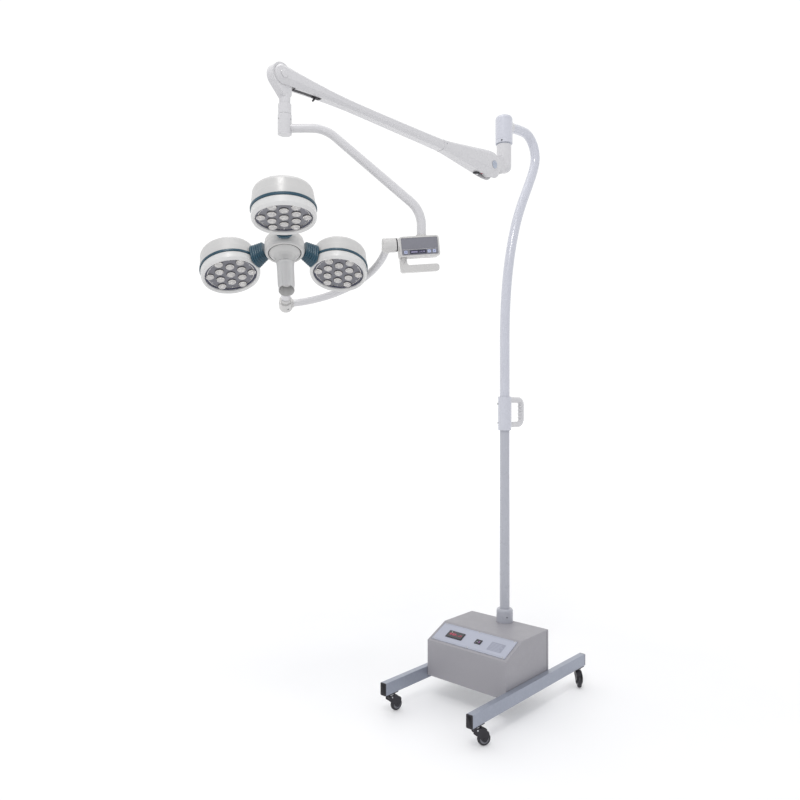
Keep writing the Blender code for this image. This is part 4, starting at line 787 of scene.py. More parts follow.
lean = Vector((0, 0.351, 0.936))
knee = Vector((0, 0.0834, 2.0185))
goose_path = [Vector((0, 0, 1.191)), Vector((0, 0, 1.26)), Vector((0, 0, 1.38))] + bezier([
    ((0, 0, 1.500), None, (0, 0, 1.700)),
    (knee, knee - lean * 0.17, knee + lean * 0.15),
    ((0, 0.248, 2.3600), (0, 0.248, 2.290), (0, 0.248, 2.412)),
    ((0, 0.155, 2.4540), (0, 0.205, 2.4540), (0, 0.115, 2.4540)),
    ((0, 0.0160, 2.4405), (0, 0.066, 2.4476), None)], 26)
goose = Piece("gooseneck_skin")
goose.add(sweep(goose_path, MAST_R, 64), BASE, TUBE_WHITE)
goose.done("cart", "gooseneck", slot="white_tube")

cap = Piece("mast_head_cap_skin")
CR, CZ0, CZ1 = 0.0370, 2.3575, 2.4838
dome = [(0.0, CZ1)] + [(0.0355 * math.sin(math.radians(a)), CZ1 - 0.0150 * (1 - math.cos(math.radians(a)))) for a in (20, 40, 58, 72, 84)]
prof = dome + [(CR - 0.0006, CZ1 - 0.0165), (CR - 0.0006, CZ1 - 0.0185), (CR, CZ1 - 0.0195), (CR, CZ0 + 0.0165), (CR - 0.0007, CZ0 + 0.0158), (CR - 0.0007, CZ0 + 0.0142), (CR, CZ0 + 0.0135),
               (CR, CZ0 + 0.0016), (CR - 0.0016, CZ0), (0.0186, CZ0), (0.0186, CZ0 + 0.030)]
cap.add(lathe(rounded(prof, 0.0006, 2), 96), BASE @ move(y=-0.006), TUBE_WHITE)
for a in (-42.23 - 90 - 62, -42.23 - 90 + 62, 132):
    d = Vector((math.cos(math.radians(a)), math.sin(math.radians(a)), 0))
    cap.add(lathe(rounded([(0.0, 0.0008), (0.0036, 0.0008), (0.0040, -0.0012)], 0.0004), 32), BASE @ aim(d * (CR - 0.0004) + Vector((0, -0.006, CZ0 + 0.0075)), d), DARK_STEEL)
    cap.add(lathe([(0.0, 0.0010), (0.0018, 0.0010), (0.0018, 0.0)], 6), BASE @ aim(d * (CR - 0.0004) + Vector((0, -0.006, CZ0 + 0.0075)), d), BLACK_GLOSS)
# the collar cast round the gooseneck's end
nd = Vector((0, 0.0160 - 0.066, 2.4405 - 2.4476)).normalized()
cap.add(lathe(rounded([(MAST_R + 0.0004, -0.012), (0.0246, -0.012), (0.0242, 0.0135), (MAST_R + 0.0004, 0.0135)], 0.0012), 72), BASE @ aim(Vector((0, 0.0310, 2.44265)), -nd), WHITE)
cap.done("cart", "mast_head_cap", slot="casting")


# ------------------------------------------------------------------ Booleans, done at once on plain meshes
def boolean(first, second, how="DIFFERENCE"):
    made = []
    for n, chunk in enumerate((first, second)):
        bmesh.ops.recalc_face_normals(chunk, faces=chunk.faces)
        mesh = bpy.data.meshes.new(f"work_{n}")
        chunk.to_mesh(mesh)
        chunk.free()
        obj = bpy.data.objects.new(f"work_{n}", mesh)
        scene.collection.objects.link(obj)
        made.append(obj)
    step = made[0].modifiers.new("cut", "BOOLEAN")
    step.operation = how
    step.object = made[1]
    step.solver = "EXACT"
    bpy.context.view_layer.update()
    mesh = bpy.data.meshes.new_from_object(made[0].evaluated_get(bpy.context.evaluated_depsgraph_get()))
    out = bmesh.new()
    out.from_mesh(mesh)
    for obj in made:
        data = obj.data
        bpy.data.objects.remove(obj)
        bpy.data.meshes.remove(data)
    bpy.data.meshes.remove(mesh)
    return out


# ------------------------------------------------------------------ spring arm
RY, RZ, FY, FZ = -0.120, 2.2365, -1.226, 2.245
SEAM = -0.445


def arm_outline(w, h):
    """Flat flanks, a soft top, and a chamfer from the crease down to the underside."""
    pts = [(-0.70 * w, -h), (0.70 * w, -h), (w, -0.34 * h), (w, 0.74 * h), (0.80 * w, h), (-0.80 * w, h), (-w, 0.74 * h), (-w, -0.34 * h)]
    share = [0.10, 0.10, 0.14, 0.34, 0.34, 0.34, 0.34, 0.14]
    out = []
    for i in range(8):
        a, b, c = Vector(pts[i - 1]), Vector(pts[i]), Vector(pts[(i + 1) % 8])
        reach = share[i] * min((a - b).length, (c - b).length)
        p, q = b + (a - b).normalized() * reach, b + (c - b).normalized() * reach
        for k in range(4):
            t = k / 3
            m = p * (1 - t) ** 2 + b * 2 * t * (1 - t) + q * t * t
            out.append((m.x, m.y))
    return out


def arm_mid(y):
    t = (RY - y) / (RY - FY)
    return RZ + (FZ - RZ) * max(0.0, min(1.0, t)) ** 2


def smooth_rows(rows, steps):
    """Rows of (y, width, height) with rows between them, on a smooth curve."""
    out = []
    for i in range(len(rows) - 1):
        p0, p1, p2, p3 = rows[max(0, i - 1)], rows[i], rows[i + 1], rows[min(len(rows) - 1, i + 2)]
        for k in range(steps):
            t = k / steps
            out.append(tuple(0.5 * (2 * b + (c - a) * t + (2 * a - 5 * b + 4 * c - d) * t * t + (3 * b - a - 3 * c + d) * t ** 3)
                             for a, b, c, d in zip(p0, p1, p2, p3)))
    out.append(rows[-1])
    return out


def arm_shell(end_rows, body_rows, wall=0.0025):
    """Outer skin and inner skin joined round the open end."""
    def ring(y, w, h, z):
        return [(x, y, z + dz) for x, dz in arm_outline(w, h)]
    outer = [ring(y, w, h, z) for y, w, h, z in end_rows] + [ring(y, w, h, arm_mid(y)) for y, w, h in body_rows]
    inner = [ring(y, w - wall, h - wall, z) for y, w, h, z in end_rows if h > 0.012] + [ring(y, w - wall, h - wall, arm_mid(y)) for y, w, h in body_rows]
    bm = bmesh.new()
    rows = [[bm.verts.new(p) for p in r] for r in outer + inner[::-1]]
    for a, b in zip(rows, rows[1:]):
        for k in range(len(a)):
            j = (k + 1) % len(a)
            bm.faces.new((a[k], a[j], b[j], b[k]))
    bm.faces.new(rows[0][::-1])
    bm.faces.new(rows[-1])
    return bm


rear_body = smooth_rows([(-0.120, 0.0300, 0.0540), (-0.150, 0.0300, 0.0533), (-0.205, 0.0295, 0.0470), (-0.275, 0.0282, 0.0383), (-0.350, 0.0258, 0.0290),
                         (-0.410, 0.0230, 0.0223), (SEAM + 0.0004, 0.0217, 0.0196)], 8)
rear_end = [(RY + 0.054 * math.sin(math.radians(a)), 0.030 - 0.0035 * (a / 88.0) ** 4, 0.054 * math.cos(math.radians(a)), RZ)
            for a in (88, 84, 79, 73, 66, 58, 50, 41, 32, 22, 11)]
front_body = smooth_rows([(SEAM - 0.0004, 0.0213, 0.0192), (-0.560, 0.0203, 0.0174), (-0.700, 0.0195, 0.0161), (-0.830, 0.0188, 0.0150), (-0.925, 0.0186, 0.0146),
                          (-1.000, 0.0195, 0.0160), (-1.060, 0.0210, 0.0184), (-1.120, 0.0226, 0.0217), (-1.180, 0.0240, 0.0262), (-1.226, 0.0245, 0.0293)], 8)
front_end = [(FY - 0.0293 * math.sin(math.radians(a)), 0.0245 - 0.0025 * (a / 88.0) ** 4, 0.0293 * math.cos(math.radians(a)), FZ)
             for a in (88, 83, 76, 68, 59, 50, 40, 30, 20, 10)]
rear_shell = boolean(arm_shell(rear_end, rear_body), block((-0.0194, -0.188, 2.10), (0.0194, -0.030, 2.36), 0.0))
cover = Piece("arm_rear_cover_skin")
cover.add(rear_shell, BASE, WHITE)
# a bead that closes the seam, and a small screw behind it
cover.add(loft([[(x, SEAM + dy, arm_mid(SEAM) + z) for x, z in arm_outline(0.0219 + g, 0.0198 + g)] for dy, g in ((0.0006, 0.0), (0.0012, 0.0005), (0.0048, 0.0007), (0.0056, 0.0002))]), BASE, WHITE)
for s in (-1, 1):
    screw(cover, BASE @ aim((s * 0.0224, -0.430, arm_mid(-0.43) + 0.0060), (s, 0, 0)), 0.0030, 0.0014, STEEL, DARK_STEEL)
# under the rear end, a black strip painted as shade for the slot's opening, with its adjusting screw and red tab
cover.add(block((-0.0100, -0.2180, 2.1838), (0.0100, -0.1900, 2.1900), 0.0008, 2), BASE, BLACK)
cover.add(lathe([(0.0, -0.004), (0.0052, -0.004), (0.0056, 0.004)], 28), BASE @ move(0, -0.204, 2.1852), STEEL)
# the red tab is drawn with the display's glowing material, a painted glow, since the tab is no lamp
cover.add(block((-0.0180, -0.1886, 2.1850), (0.0180, -0.1874, 2.1960), 0.0004, 1), BASE, RED_GLOW)
cover.done("arm", "arm_rear_cover", slot="casting", angle=24)

tube = Piece("arm_front_tube_skin")
front_shell = boolean(arm_shell(front_end, front_body[::-1]), block((-0.0156, -1.300, 2.10), (0.0156, -1.172, 2.36), 0.0))
tube.add(front_shell, BASE, WHITE)
# black strips along the underside behind the knuckle, painted shade for the slot there, and the black friction lever
under = []
for k in range(9):
    y = -1.172 + 0.112 * k / 8
    under.append(y)
for a, b in zip(under, under[1:]):
    za = arm_mid((a + b) / 2)
    rows_at = min(front_body, key=lambda r: abs(r[0] - (a + b) / 2))
    tube.add(block((-0.0072, a - 0.0004, za - rows_at[2] - 0.0006), (0.0072, b + 0.0004, za - rows_at[2] + 0.0020), 0.0), BASE, BLACK)
tube.add(block((-0.0062, -1.094, 2.2202), (0.0062, -1.066, 2.2252), 0.0012, 2), BASE, BLACK)
tube.add(sweep([Vector((0, -1.082, 2.2230)), Vector((0, -1.086, 2.2160)), Vector((0, -1.092, 2.2088))], [0.0036, 0.0034, 0.0030], 20), BASE, BLACK_GLOSS)
tube.done("arm", "arm_front_tube", slot="casting", angle=24)

for name, y, z, half, radius, head_r, mat in (("rear_pivot_pin", RY, RZ, 0.0315, 0.0078, 0.0165, PIN_STEEL), ("front_pivot_pin", FY, FZ, 0.0260, 0.0060, 0.0120, WHITE)):
    pin = Piece(name + "_skin")
    pin.add(lathe([(0.0, -half), (radius, -half), (radius, half), (0.0, half)], 40), BASE @ Matrix.Translation((0, y, z)) @ turn(90, "Y"), STEEL)
    for s in (-1, 1):
        head = rounded([(0.0, half + 0.0021), (head_r * 0.55, half + 0.0021), (head_r * 0.62, half + 0.0017), (head_r * 0.90, half + 0.0017), (head_r, half + 0.0006), (head_r, half - 0.0009), (0.0, half - 0.0009)], 0.0006)
        pin.add(lathe(head, 64), BASE @ Matrix.Translation((0, y, z)) @ turn(90 * s, "Y"), mat)
    pin.done("arm", name, slot="pin_steel")

# the knuckle under the mast's head cap
NR, TG = 0.0315, 0.0188
knuckle = Piece("swivel_knuckle_skin")
core = lathe([(0.0, 2.402), (0.018, 2.402), (0.018, 2.3569), (NR - 0.0010, 2.3569), (NR, 2.3558), (NR, 2.262), (0.0300, 2.253), (0.0262, 2.2445), (0.0200, 2.2385), (0.0110, 2.2345), (0.0, 2.2330)], 72)
bmesh.ops.transform(core, matrix=move(y=-0.006), verts=core.verts)
tongue = plate(belt((RY, RZ), 0.0440, (-0.006, 2.2660), 0.0285, 30), TG)
bmesh.ops.transform(tongue, matrix=SIDE, verts=tongue.verts)
whole = boolean(core, tongue, "UNION")
knuckle_bore = lathe([(0.0, -0.06), (0.0086, -0.06), (0.0086, 0.06), (0.0, 0.06)], 32)
bmesh.ops.transform(knuckle_bore, matrix=Matrix.Translation((0, RY, RZ)) @ turn(90, "Y"), verts=knuckle_bore.verts)
whole = boolean(whole, knuckle_bore)
knuckle.add(whole, BASE, WHITE)
# thrust washer under the cap
knuckle.add(disc_ring(0.0180, 0.0325, 2.3550, 2.3566, 72), BASE @ move(y=-0.006), PIN_STEEL)
knuckle.done("swivel", "swivel_knuckle", slot="casting", angle=30)

# the knuckle at the arm's front end
front = Piece("front_knuckle_skin")
stem = lathe([(0.0, 2.200), (0.0148, 2.200), (0.0172, 2.186), (0.0172, 2.1655), (0.0168, 2.1648), (0.0168, 2.1636), (0.0200, 2.1628), (0.0205, 2.1620), (0.0205, 2.1322), (0.0197, 2.1312),
              (0.0095, 2.1312), (0.0095, 2.0960), (0.0, 2.0960)], 64)
bmesh.ops.transform(stem, matrix=move(y=HEAD_Y), verts=stem.verts)
drum = plate(belt((FY, FZ), 0.0365, (-1.2055, 2.1960), 0.0164, 34), 0.0150)
bmesh.ops.transform(drum, matrix=SIDE, verts=drum.verts)
whole = boolean(drum, stem, "UNION")
pin_bore = lathe([(0.0, -0.06), (0.0067, -0.06), (0.0067, 0.06), (0.0, 0.06)], 32)
bmesh.ops.transform(pin_bore, matrix=Matrix.Translation((0, FY, FZ)) @ turn(90, "Y"), verts=pin_bore.verts)
whole = boolean(whole, pin_bore)
front.add(whole, BASE, WHITE)
front.done("front_yoke", "front_knuckle", slot="casting", angle=30)


# ------------------------------------------------------------------ suspension bow and control box
bow = Piece("outer_bow_skin")
bow.add(lathe(rounded([(0.0099, 2.0950), (0.0099, 2.1304), (0.0215, 2.1304), (0.0215, 2.0860), (0.0213, 2.0852), (0.0213, 2.0844), (0.0215, 2.0836), (0.0215, 2.0700), (0.0, 2.0700)], 0.0008, 2), 72), BOW, WHITE)
bow.add(lathe([(0.0, 2.0950), (0.0099, 2.0950)], 72), BOW, WHITE)
bow_path = filleted([(0.014, 0, 2.0906), (0.1233, 0, 2.0984), (0.4316, 0, 1.8552), (0.4316, 0, 1.7540)], [0.104, 0.093], 22)
fine_bow = []
for a, b in zip(bow_path, bow_path[1:]):
    n = max(1, int((b - a).length / 0.010))
    fine_bow += [a.lerp(b, k / n) for k in range(n)]
fine_bow.append(bow_path[-1])
spans = [0.0]
for a, b in zip(fine_bow, fine_bow[1:]):
    spans.append(spans[-1] + (b - a).length)
bow.add(sweep(fine_bow, [0.0130 + 0.0018 * min(1.0, d / spans[-1] * 1.6) for d in spans], 48), BOW, WHITE)
# weld collar where the tube leaves the bearing
bow.add(sweep([Vector((0.0190, 0, 2.0910)), Vector((0.0215, 0, 2.0912)), Vector((0.0240, 0, 2.0914))], [0.0146, 0.0148, 0.0132], 40), BOW, WHITE)
for a in (90, 210, 330):
    c = Vector((math.cos(math.radians(a)), math.sin(math.radians(a)), 0))
    bow.add(lathe([(0.0, 0.0003), (0.0022, 0.0003), (0.0024, -0.001)], 6), BOW @ aim(c * 0.0213 + Vector((0, 0, 2.115)), c), DARK_STEEL)
bow.done("bow", "outer_bow", slot="white_tube", angle=30)

box = Piece("control_box_skin")
X0, X1, Z0, Z1 = 0.3585, 0.4875, -0.0430, 0.0210
shell = plate(soften([(X0, Z0), (X1, Z0), (X1, Z1), (X0, Z1)], [0.006, 0.006, 0.009, 0.009], 6), 0.0200, 0.0030, 4)
bmesh.ops.transform(shell, matrix=XZ, verts=shell.verts)
pocket = plate(soften([(0.3635, -0.0385), (0.4825, -0.0385), (0.4825, 0.0160), (0.3635, 0.0160)], 0.0040, 4), 0.0045)
bmesh.ops.transform(pocket, matrix=move(y=-0.0210) @ XZ, verts=pocket.verts)
shell = boolean(shell, pocket)
for kx in (0.3760, 0.4520, 0.4690):
    well = block((kx - 0.0060, -0.0210, -0.0345), (kx + 0.0060, -0.0122, -0.0235), 0.0)
    shell = boolean(shell, well)
box.add(shell, BOXF, CONTROL)
box.add(lathe(rounded([(0.0, 0.0), (0.0208, 0.0), (0.0208, 0.0100), (0.0, 0.0100)], 0.0012), 64), BOXF @ Matrix.Translation((0.3500, 0, 0)) @ turn(90, "Y"), CONTROL)
box.add(lathe([(0.0, 0.0), (0.0090, 0.0), (0.0090, 0.036), (0.0, 0.036)], 40), BOXF @ Matrix.Translation((0.3160, 0, 0)) @ turn(90, "Y"), STEEL)
box.add(disc_ring(0.0120, 0.0213, 0.0001, 0.0030, 64), BOXF @ Matrix.Translation((0.3500, 0, 0)) @ turn(90, "Y"), BLACK)
# parting line round the housing and the back cover's screws
box.add(block((X0 + 0.0030, 0.0198, Z0 + 0.0045), (X1 - 0.0030, 0.02012, Z1 - 0.0045), 0.0001, 1), BOXF, CONTROL)
for sx in (X0 + 0.010, X1 - 0.010):
    for sz in (Z0 + 0.010, Z1 - 0.010):
        screw(box, BOXF @ Matrix.Translation((sx, 0.0199, sz)) @ turn(-90, "X"), 0.0026, 0.0010)
for k in range(7):
    box.add(block((0.405 + 0.006 * k, 0.0199, -0.020), (0.4075 + 0.006 * k, 0.0204, 0.004), 0.0002, 1), BOXF, BLACK)
# a socket on the top where the bow's tube lands
socket = lathe(rounded([(0.0150, 0.0), (0.0186, 0.0), (0.0180, 0.0052), (0.0156, 0.0060)], 0.0006), 64)
box.add(socket, BOXF @ Matrix.Translation((0.4345, 0, Z1 - 0.0004)), CONTROL)
box.done("bow", "control_box", slot="control_plastic", angle=30)

fascia = Piece("control_fascia_skin")
face = plate(soften([(0.3640, -0.0380), (0.4820, -0.0380), (0.4820, 0.0155), (0.3640, 0.0155)], 0.0038, 5), 0.00125, 0.0004, 2)
bmesh.ops.transform(face, matrix=move(y=-0.01815) @ XZ, verts=face.verts)
for kx in (0.3760, 0.4520, 0.4690):
    face = boolean(face, block((kx - 0.0060, -0.0230, -0.0345), (kx + 0.0060, -0.0122, -0.0235), 0.0))
fascia.add(face, BOXF, FASCIA)
# raised edge line, the upper field and the divider over the key strip
fascia.add(plate(soften([(0.3668, -0.0192), (0.4792, -0.0192), (0.4792, 0.0128), (0.3668, 0.0128)], 0.0030, 4), 0.00015, 0.0), BOXF @ move(y=-0.01945) @ XZ, FASCIA)
fascia.add(block((0.3660, -0.01985, -0.0212), (0.4800, -0.0193, -0.0204), 0.0001, 1), BOXF, CONTROL)
fascia.add(plate(soften([(0.3895, -0.0352), (0.4435, -0.0352), (0.4435, -0.0228), (0.3895, -0.0228)], 0.0016, 3), 0.00035, 0.0002, 1), BOXF @ move(y=-0.0196) @ XZ, LCD)
fascia.add(block((0.3935, -0.02005, -0.0312), (0.4140, -0.0199, -0.0268), 0.00005, 1), BOXF, LCD_BAR)
fascia.add(block((0.4330, -0.02005, -0.0312), (0.4375, -0.0199, -0.0268), 0.00005, 1), BOXF, LCD_BAR)
for k in range(5):
    fascia.add(block((0.4172 + 0.0027 * k, -0.02005, -0.0312), (0.4189 + 0.0027 * k, -0.0199, -0.0300 + 0.0008 * k), 0.00004, 1), BOXF, LCD_BAR)
fascia.done("bow", "control_fascia", slot="fascia_plastic", angle=28)

for name, kx, body in (("power_key", 0.3760, "power_button"), ("dim_key", 0.4520, "dim_button"), ("bright_key", 0.4690, "bright_button")):
    key = Piece(name + "_skin")
    key.add(plate(soften([(kx - 0.0055, -0.0340), (kx + 0.0055, -0.0340), (kx + 0.0055, -0.0240), (kx - 0.0055, -0.0240)], 0.0018, 5), 0.0036, 0.0009, 3),
            BOXF @ move(y=-0.0176) @ XZ, KEY)
    mark = BOXF @ Matrix.Translation((kx, -0.02118, -0.0290)) @ turn(90, "X")
    if name == "power_key":
        key.add(disc_ring(0.0017, 0.0024, -0.0002, 0.00015, 32), mark, KEY_DOT)
        key.add(block((-0.0003, 0.0004, -0.0002), (0.0003, 0.0031, 0.00018), 0), mark, KEY_DOT)
    else:
        key.add(block((-0.0022, -0.0004, -0.0002), (0.0022, 0.0004, 0.00015), 0), mark, KEY_DOT)
        if name == "bright_key":
            key.add(block((-0.0004, -0.0022, -0.0002), (0.0004, 0.0022, 0.00018), 0), mark, KEY_DOT)
    key.done(body, name, slot="key_plastic")

grip = Piece("adjust_grip_skin")
grip_outline = soften([(0.3590, -0.0434), (0.3590, -0.0850), (0.3640, -0.0900), (0.4840, -0.0900), (0.4840, -0.0675), (0.3850, -0.0675), (0.3800, -0.0625), (0.3800, -0.0434)],
                      [0.0006, 0.006, 0.006, 0.0085, 0.0085, 0.006, 0.006, 0.0006], 6)
grip.add(plate(grip_outline, 0.0090, 0.0030, 4), BOXF @ XZ, CONTROL)
for k in range(4):
    grip.add(block((0.402 + 0.019 * k, -0.0093, -0.0805), (0.412 + 0.019 * k, 0.0093, -0.0770), 0.0010, 2), BOXF, CONTROL)
for k in range(3):
    grip.add(block((0.3640, -0.0093, -0.0560 - 0.008 * k), (0.3750, 0.0093, -0.0530 - 0.008 * k), 0.0008, 2), BOXF, CONTROL)
grip.done("bow", "adjust_grip", slot="control_plastic", angle=30)

# ------------------------------------------------------------------ inner bow
inner = Piece("inner_bow_skin")
elbow = lathe(rounded([(0.0095, 0.0065), (0.0095, 0.0410), (0.0225, 0.0410), (0.0225, 0.0), (0.0, 0.0)], 0.0016), 72)
inner.add(elbow, ELBOW @ Matrix.Translation((0.3085, 0, 0)) @ turn(90, "Y"), CONTROL)
inner.add(lathe([(0.0, 0.0065), (0.0095, 0.0065)], 48), ELBOW @ Matrix.Translation((0.3085, 0, 0)) @ turn(90, "Y"), CONTROL)
R = 0.322
arc = [Vector((R, 0.012, 0))] + [Vector((R * math.cos(math.radians(a)), R * math.sin(math.radians(a)), 0)) for a in range(4, 87, 2)] + [Vector((0.012, R, 0))]
inner.add(sweep(arc, 0.0125, 40), ELBOW, WHITE)
for p, d in (((R - 0.0002, 0.0206, 0), (-0.0009, 0.022, 0)), ((0.0232, R - 0.0006, 0), (0.022, -0.0012, 0))):
    inner.add(lathe(rounded([(0.0, -0.003), (0.0154, -0.003), (0.0150, 0.0022), (0.0126, 0.0042)], 0.0006), 56), ELBOW @ aim(p, d), CONTROL)
rear = lathe(rounded([(0.0105, 0.0), (0.0105, 0.0370), (0.0, 0.0370)], 0.0002, 1), 48)
inner.add(rear, ELBOW @ Matrix.Translation((0, 0.2990, 0)) @ turn(-90, "X"), CONTROL)
inner.add(lathe(rounded([(0.0105, 0.0), (0.0235, 0.0), (0.0235, 0.0440), (0.0215, 0.0460), (0.0, 0.0460)], 0.0016), 72), ELBOW @ Matrix.Translation((0, 0.2990, 0)) @ turn(-90, "X"), CONTROL)
for a in (45, 165, 285):
    c = Vector((math.cos(math.radians(a)), 0, math.sin(math.radians(a))))
    inner.add(lathe(rounded([(0.0, 0.0006), (0.0030, 0.0006), (0.0034, -0.001)], 0.0003), 28), ELBOW @ aim(c * 0.0233 + Vector((0, 0.322, 0)), c), DARK_STEEL)
inner.done("yoke_arm", "inner_bow", slot="white_tube", angle=30)

# ------------------------------------------------------------------ lamp head
hub = Piece("hub_housing_skin")
hub_prof = rounded([(0.0, 0.0520), (0.0200, 0.0516), (0.0360, 0.0505), (0.0520, 0.0455), (0.0590, 0.0380), (0.0610, 0.0280), (0.0610, 0.0182), (0.0603, 0.0177), (0.0603, 0.0167), (0.0610, 0.0162),
                    (0.0610, -0.0020), (0.0580, -0.0090), (0.0505, -0.0090), (0.0505, -0.0035), (0.0, -0.0035)], 0.0030, 4)
hub.add(lathe(hub_prof, 96), HEAD, SHELL)
for a in (20, 140, 260):
    c = Vector((math.cos(math.radians(a)), math.sin(math.radians(a)), 0))
    screw(hub, HEAD @ aim(c * 0.0607 + Vector((0, 0, 0.0075)), c), 0.0030, 0.0013, STEEL, DARK_STEEL)
for k in range(18):
    hub.add(block((0.046, -0.0010, 0.04795), (0.052, 0.0010, 0.0488), 0.0002, 1), HEAD @ turn(20 * k, "Z") @ Matrix.Translation((0.0020, 0, -0.0026)), BLACK)
hub.done("lamp_head", "hub_housing", slot="hub_plastic", angle=30)

spindle = Piece("hub_spindle_skin")
start, end = Vector((0, 0.0575, 0.0063)), Vector((0, 0.2985, 0.0))
fade = [start.lerp(end, k / 16) for k in range(17)]
spindle.add(sweep(fade, 0.0155, 56), HEAD, WHITE)
spindle.add(lathe(rounded([(0.0, 0.0570), (0.0230, 0.0570), (0.0230, 0.0700), (0.0205, 0.0730), (0.0, 0.0730)], 0.0012), 64), HEAD @ Matrix.Translation((0, 0, 0.0062)) @ turn(-90, "X"), SHELL)
spindle.add(lathe([(0.0, 0.2900), (0.0100, 0.2900), (0.0100, 0.3342), (0.0092, 0.3350), (0.0, 0.3350)], 48), HEAD @ turn(-90, "X"), STEEL)
spindle.add(lathe(rounded([(0.0, 0.2790), (0.0176, 0.2790), (0.0176, 0.2982), (0.0, 0.2982)], 0.0012), 56), HEAD @ turn(-90, "X"), SHELL)
spindle.done("lamp_head", "hub_spindle", slot="pin_steel", angle=30)

mount = Piece("handle_mount_skin")
mount.add(lathe(rounded([(0.0, -0.0040), (0.0480, -0.0040), (0.0480, -0.0080), (0.0466, -0.0096), (0.0462, -0.0100), (0.0458, -0.0107), (0.0440, -0.0125), (0.0350, -0.0210), (0.0310, -0.0282), (0.0306, -0.0286), (0.0304, -0.0296),
                         (0.0295, -0.0320), (0.0272, -0.0438), (0.0118, -0.0440), (0.0118, -0.1170), (0.0110, -0.1180), (0.0, -0.1180)], 0.0008, 2), 96), HEAD, SHELL)
# a black ring round the seat, painted shade for the groove there, and the bayonet's two lugs
mount.add(disc_ring(0.0486, 0.0500, -0.0072, -0.0044, 96), HEAD, BLACK_GLOSS)
for a in (15, 195):
    mount.add(block((0.0100, -0.0030, -0.0600), (0.0121, 0.0030, -0.0540), 0.0006, 2), HEAD @ turn(a, "Z"), STEEL)
mount.done("lamp_head", "handle_mount", slot="hub_plastic", angle=30)

sterile = Piece("sterile_handle_skin")
handle_prof = rounded([(0.0, -0.1200), (0.0124, -0.1200), (0.0124, -0.0445), (0.0266, -0.0445), (0.0270, -0.0449), (0.0268, -0.0500), (0.0262, -0.0508), (0.0262, -0.0620), (0.0251, -0.0830), (0.0243, -0.1000), (0.0238, -0.1250),
                       (0.0238, -0.1400), (0.0222, -0.1470), (0.0200, -0.1530), (0.0100, -0.1541), (0.0, -0.1545)], 0.0012, 3)
whole = lathe(handle_prof, 96)
cutter = block((-0.06, -0.06, -0.06), (0.06, 0.06, 0.0), 0.0)
bmesh.ops.transform(cutter, matrix=Matrix.Translation((0, 0, -0.1400)) @ turn(-16, "X"), verts=cutter.verts)
whole = boolean(whole, cutter)
sterile.add(whole, HEAD, BEZEL)
for k in range(6):
    a = 60 * k
    rib = [Vector((0.0249 - 0.0008 * t, 0, -0.064 - 0.062 * t)) for t in [j / 8 for j in range(9)]]
    sterile.add(sweep(rib, [0.0006] + [0.0012] * 7 + [0.0006], 12), HEAD @ turn(a, "Z"), BEZEL)
sterile.done("handle", "sterile_handle", slot="lamp_shell", angle=30)

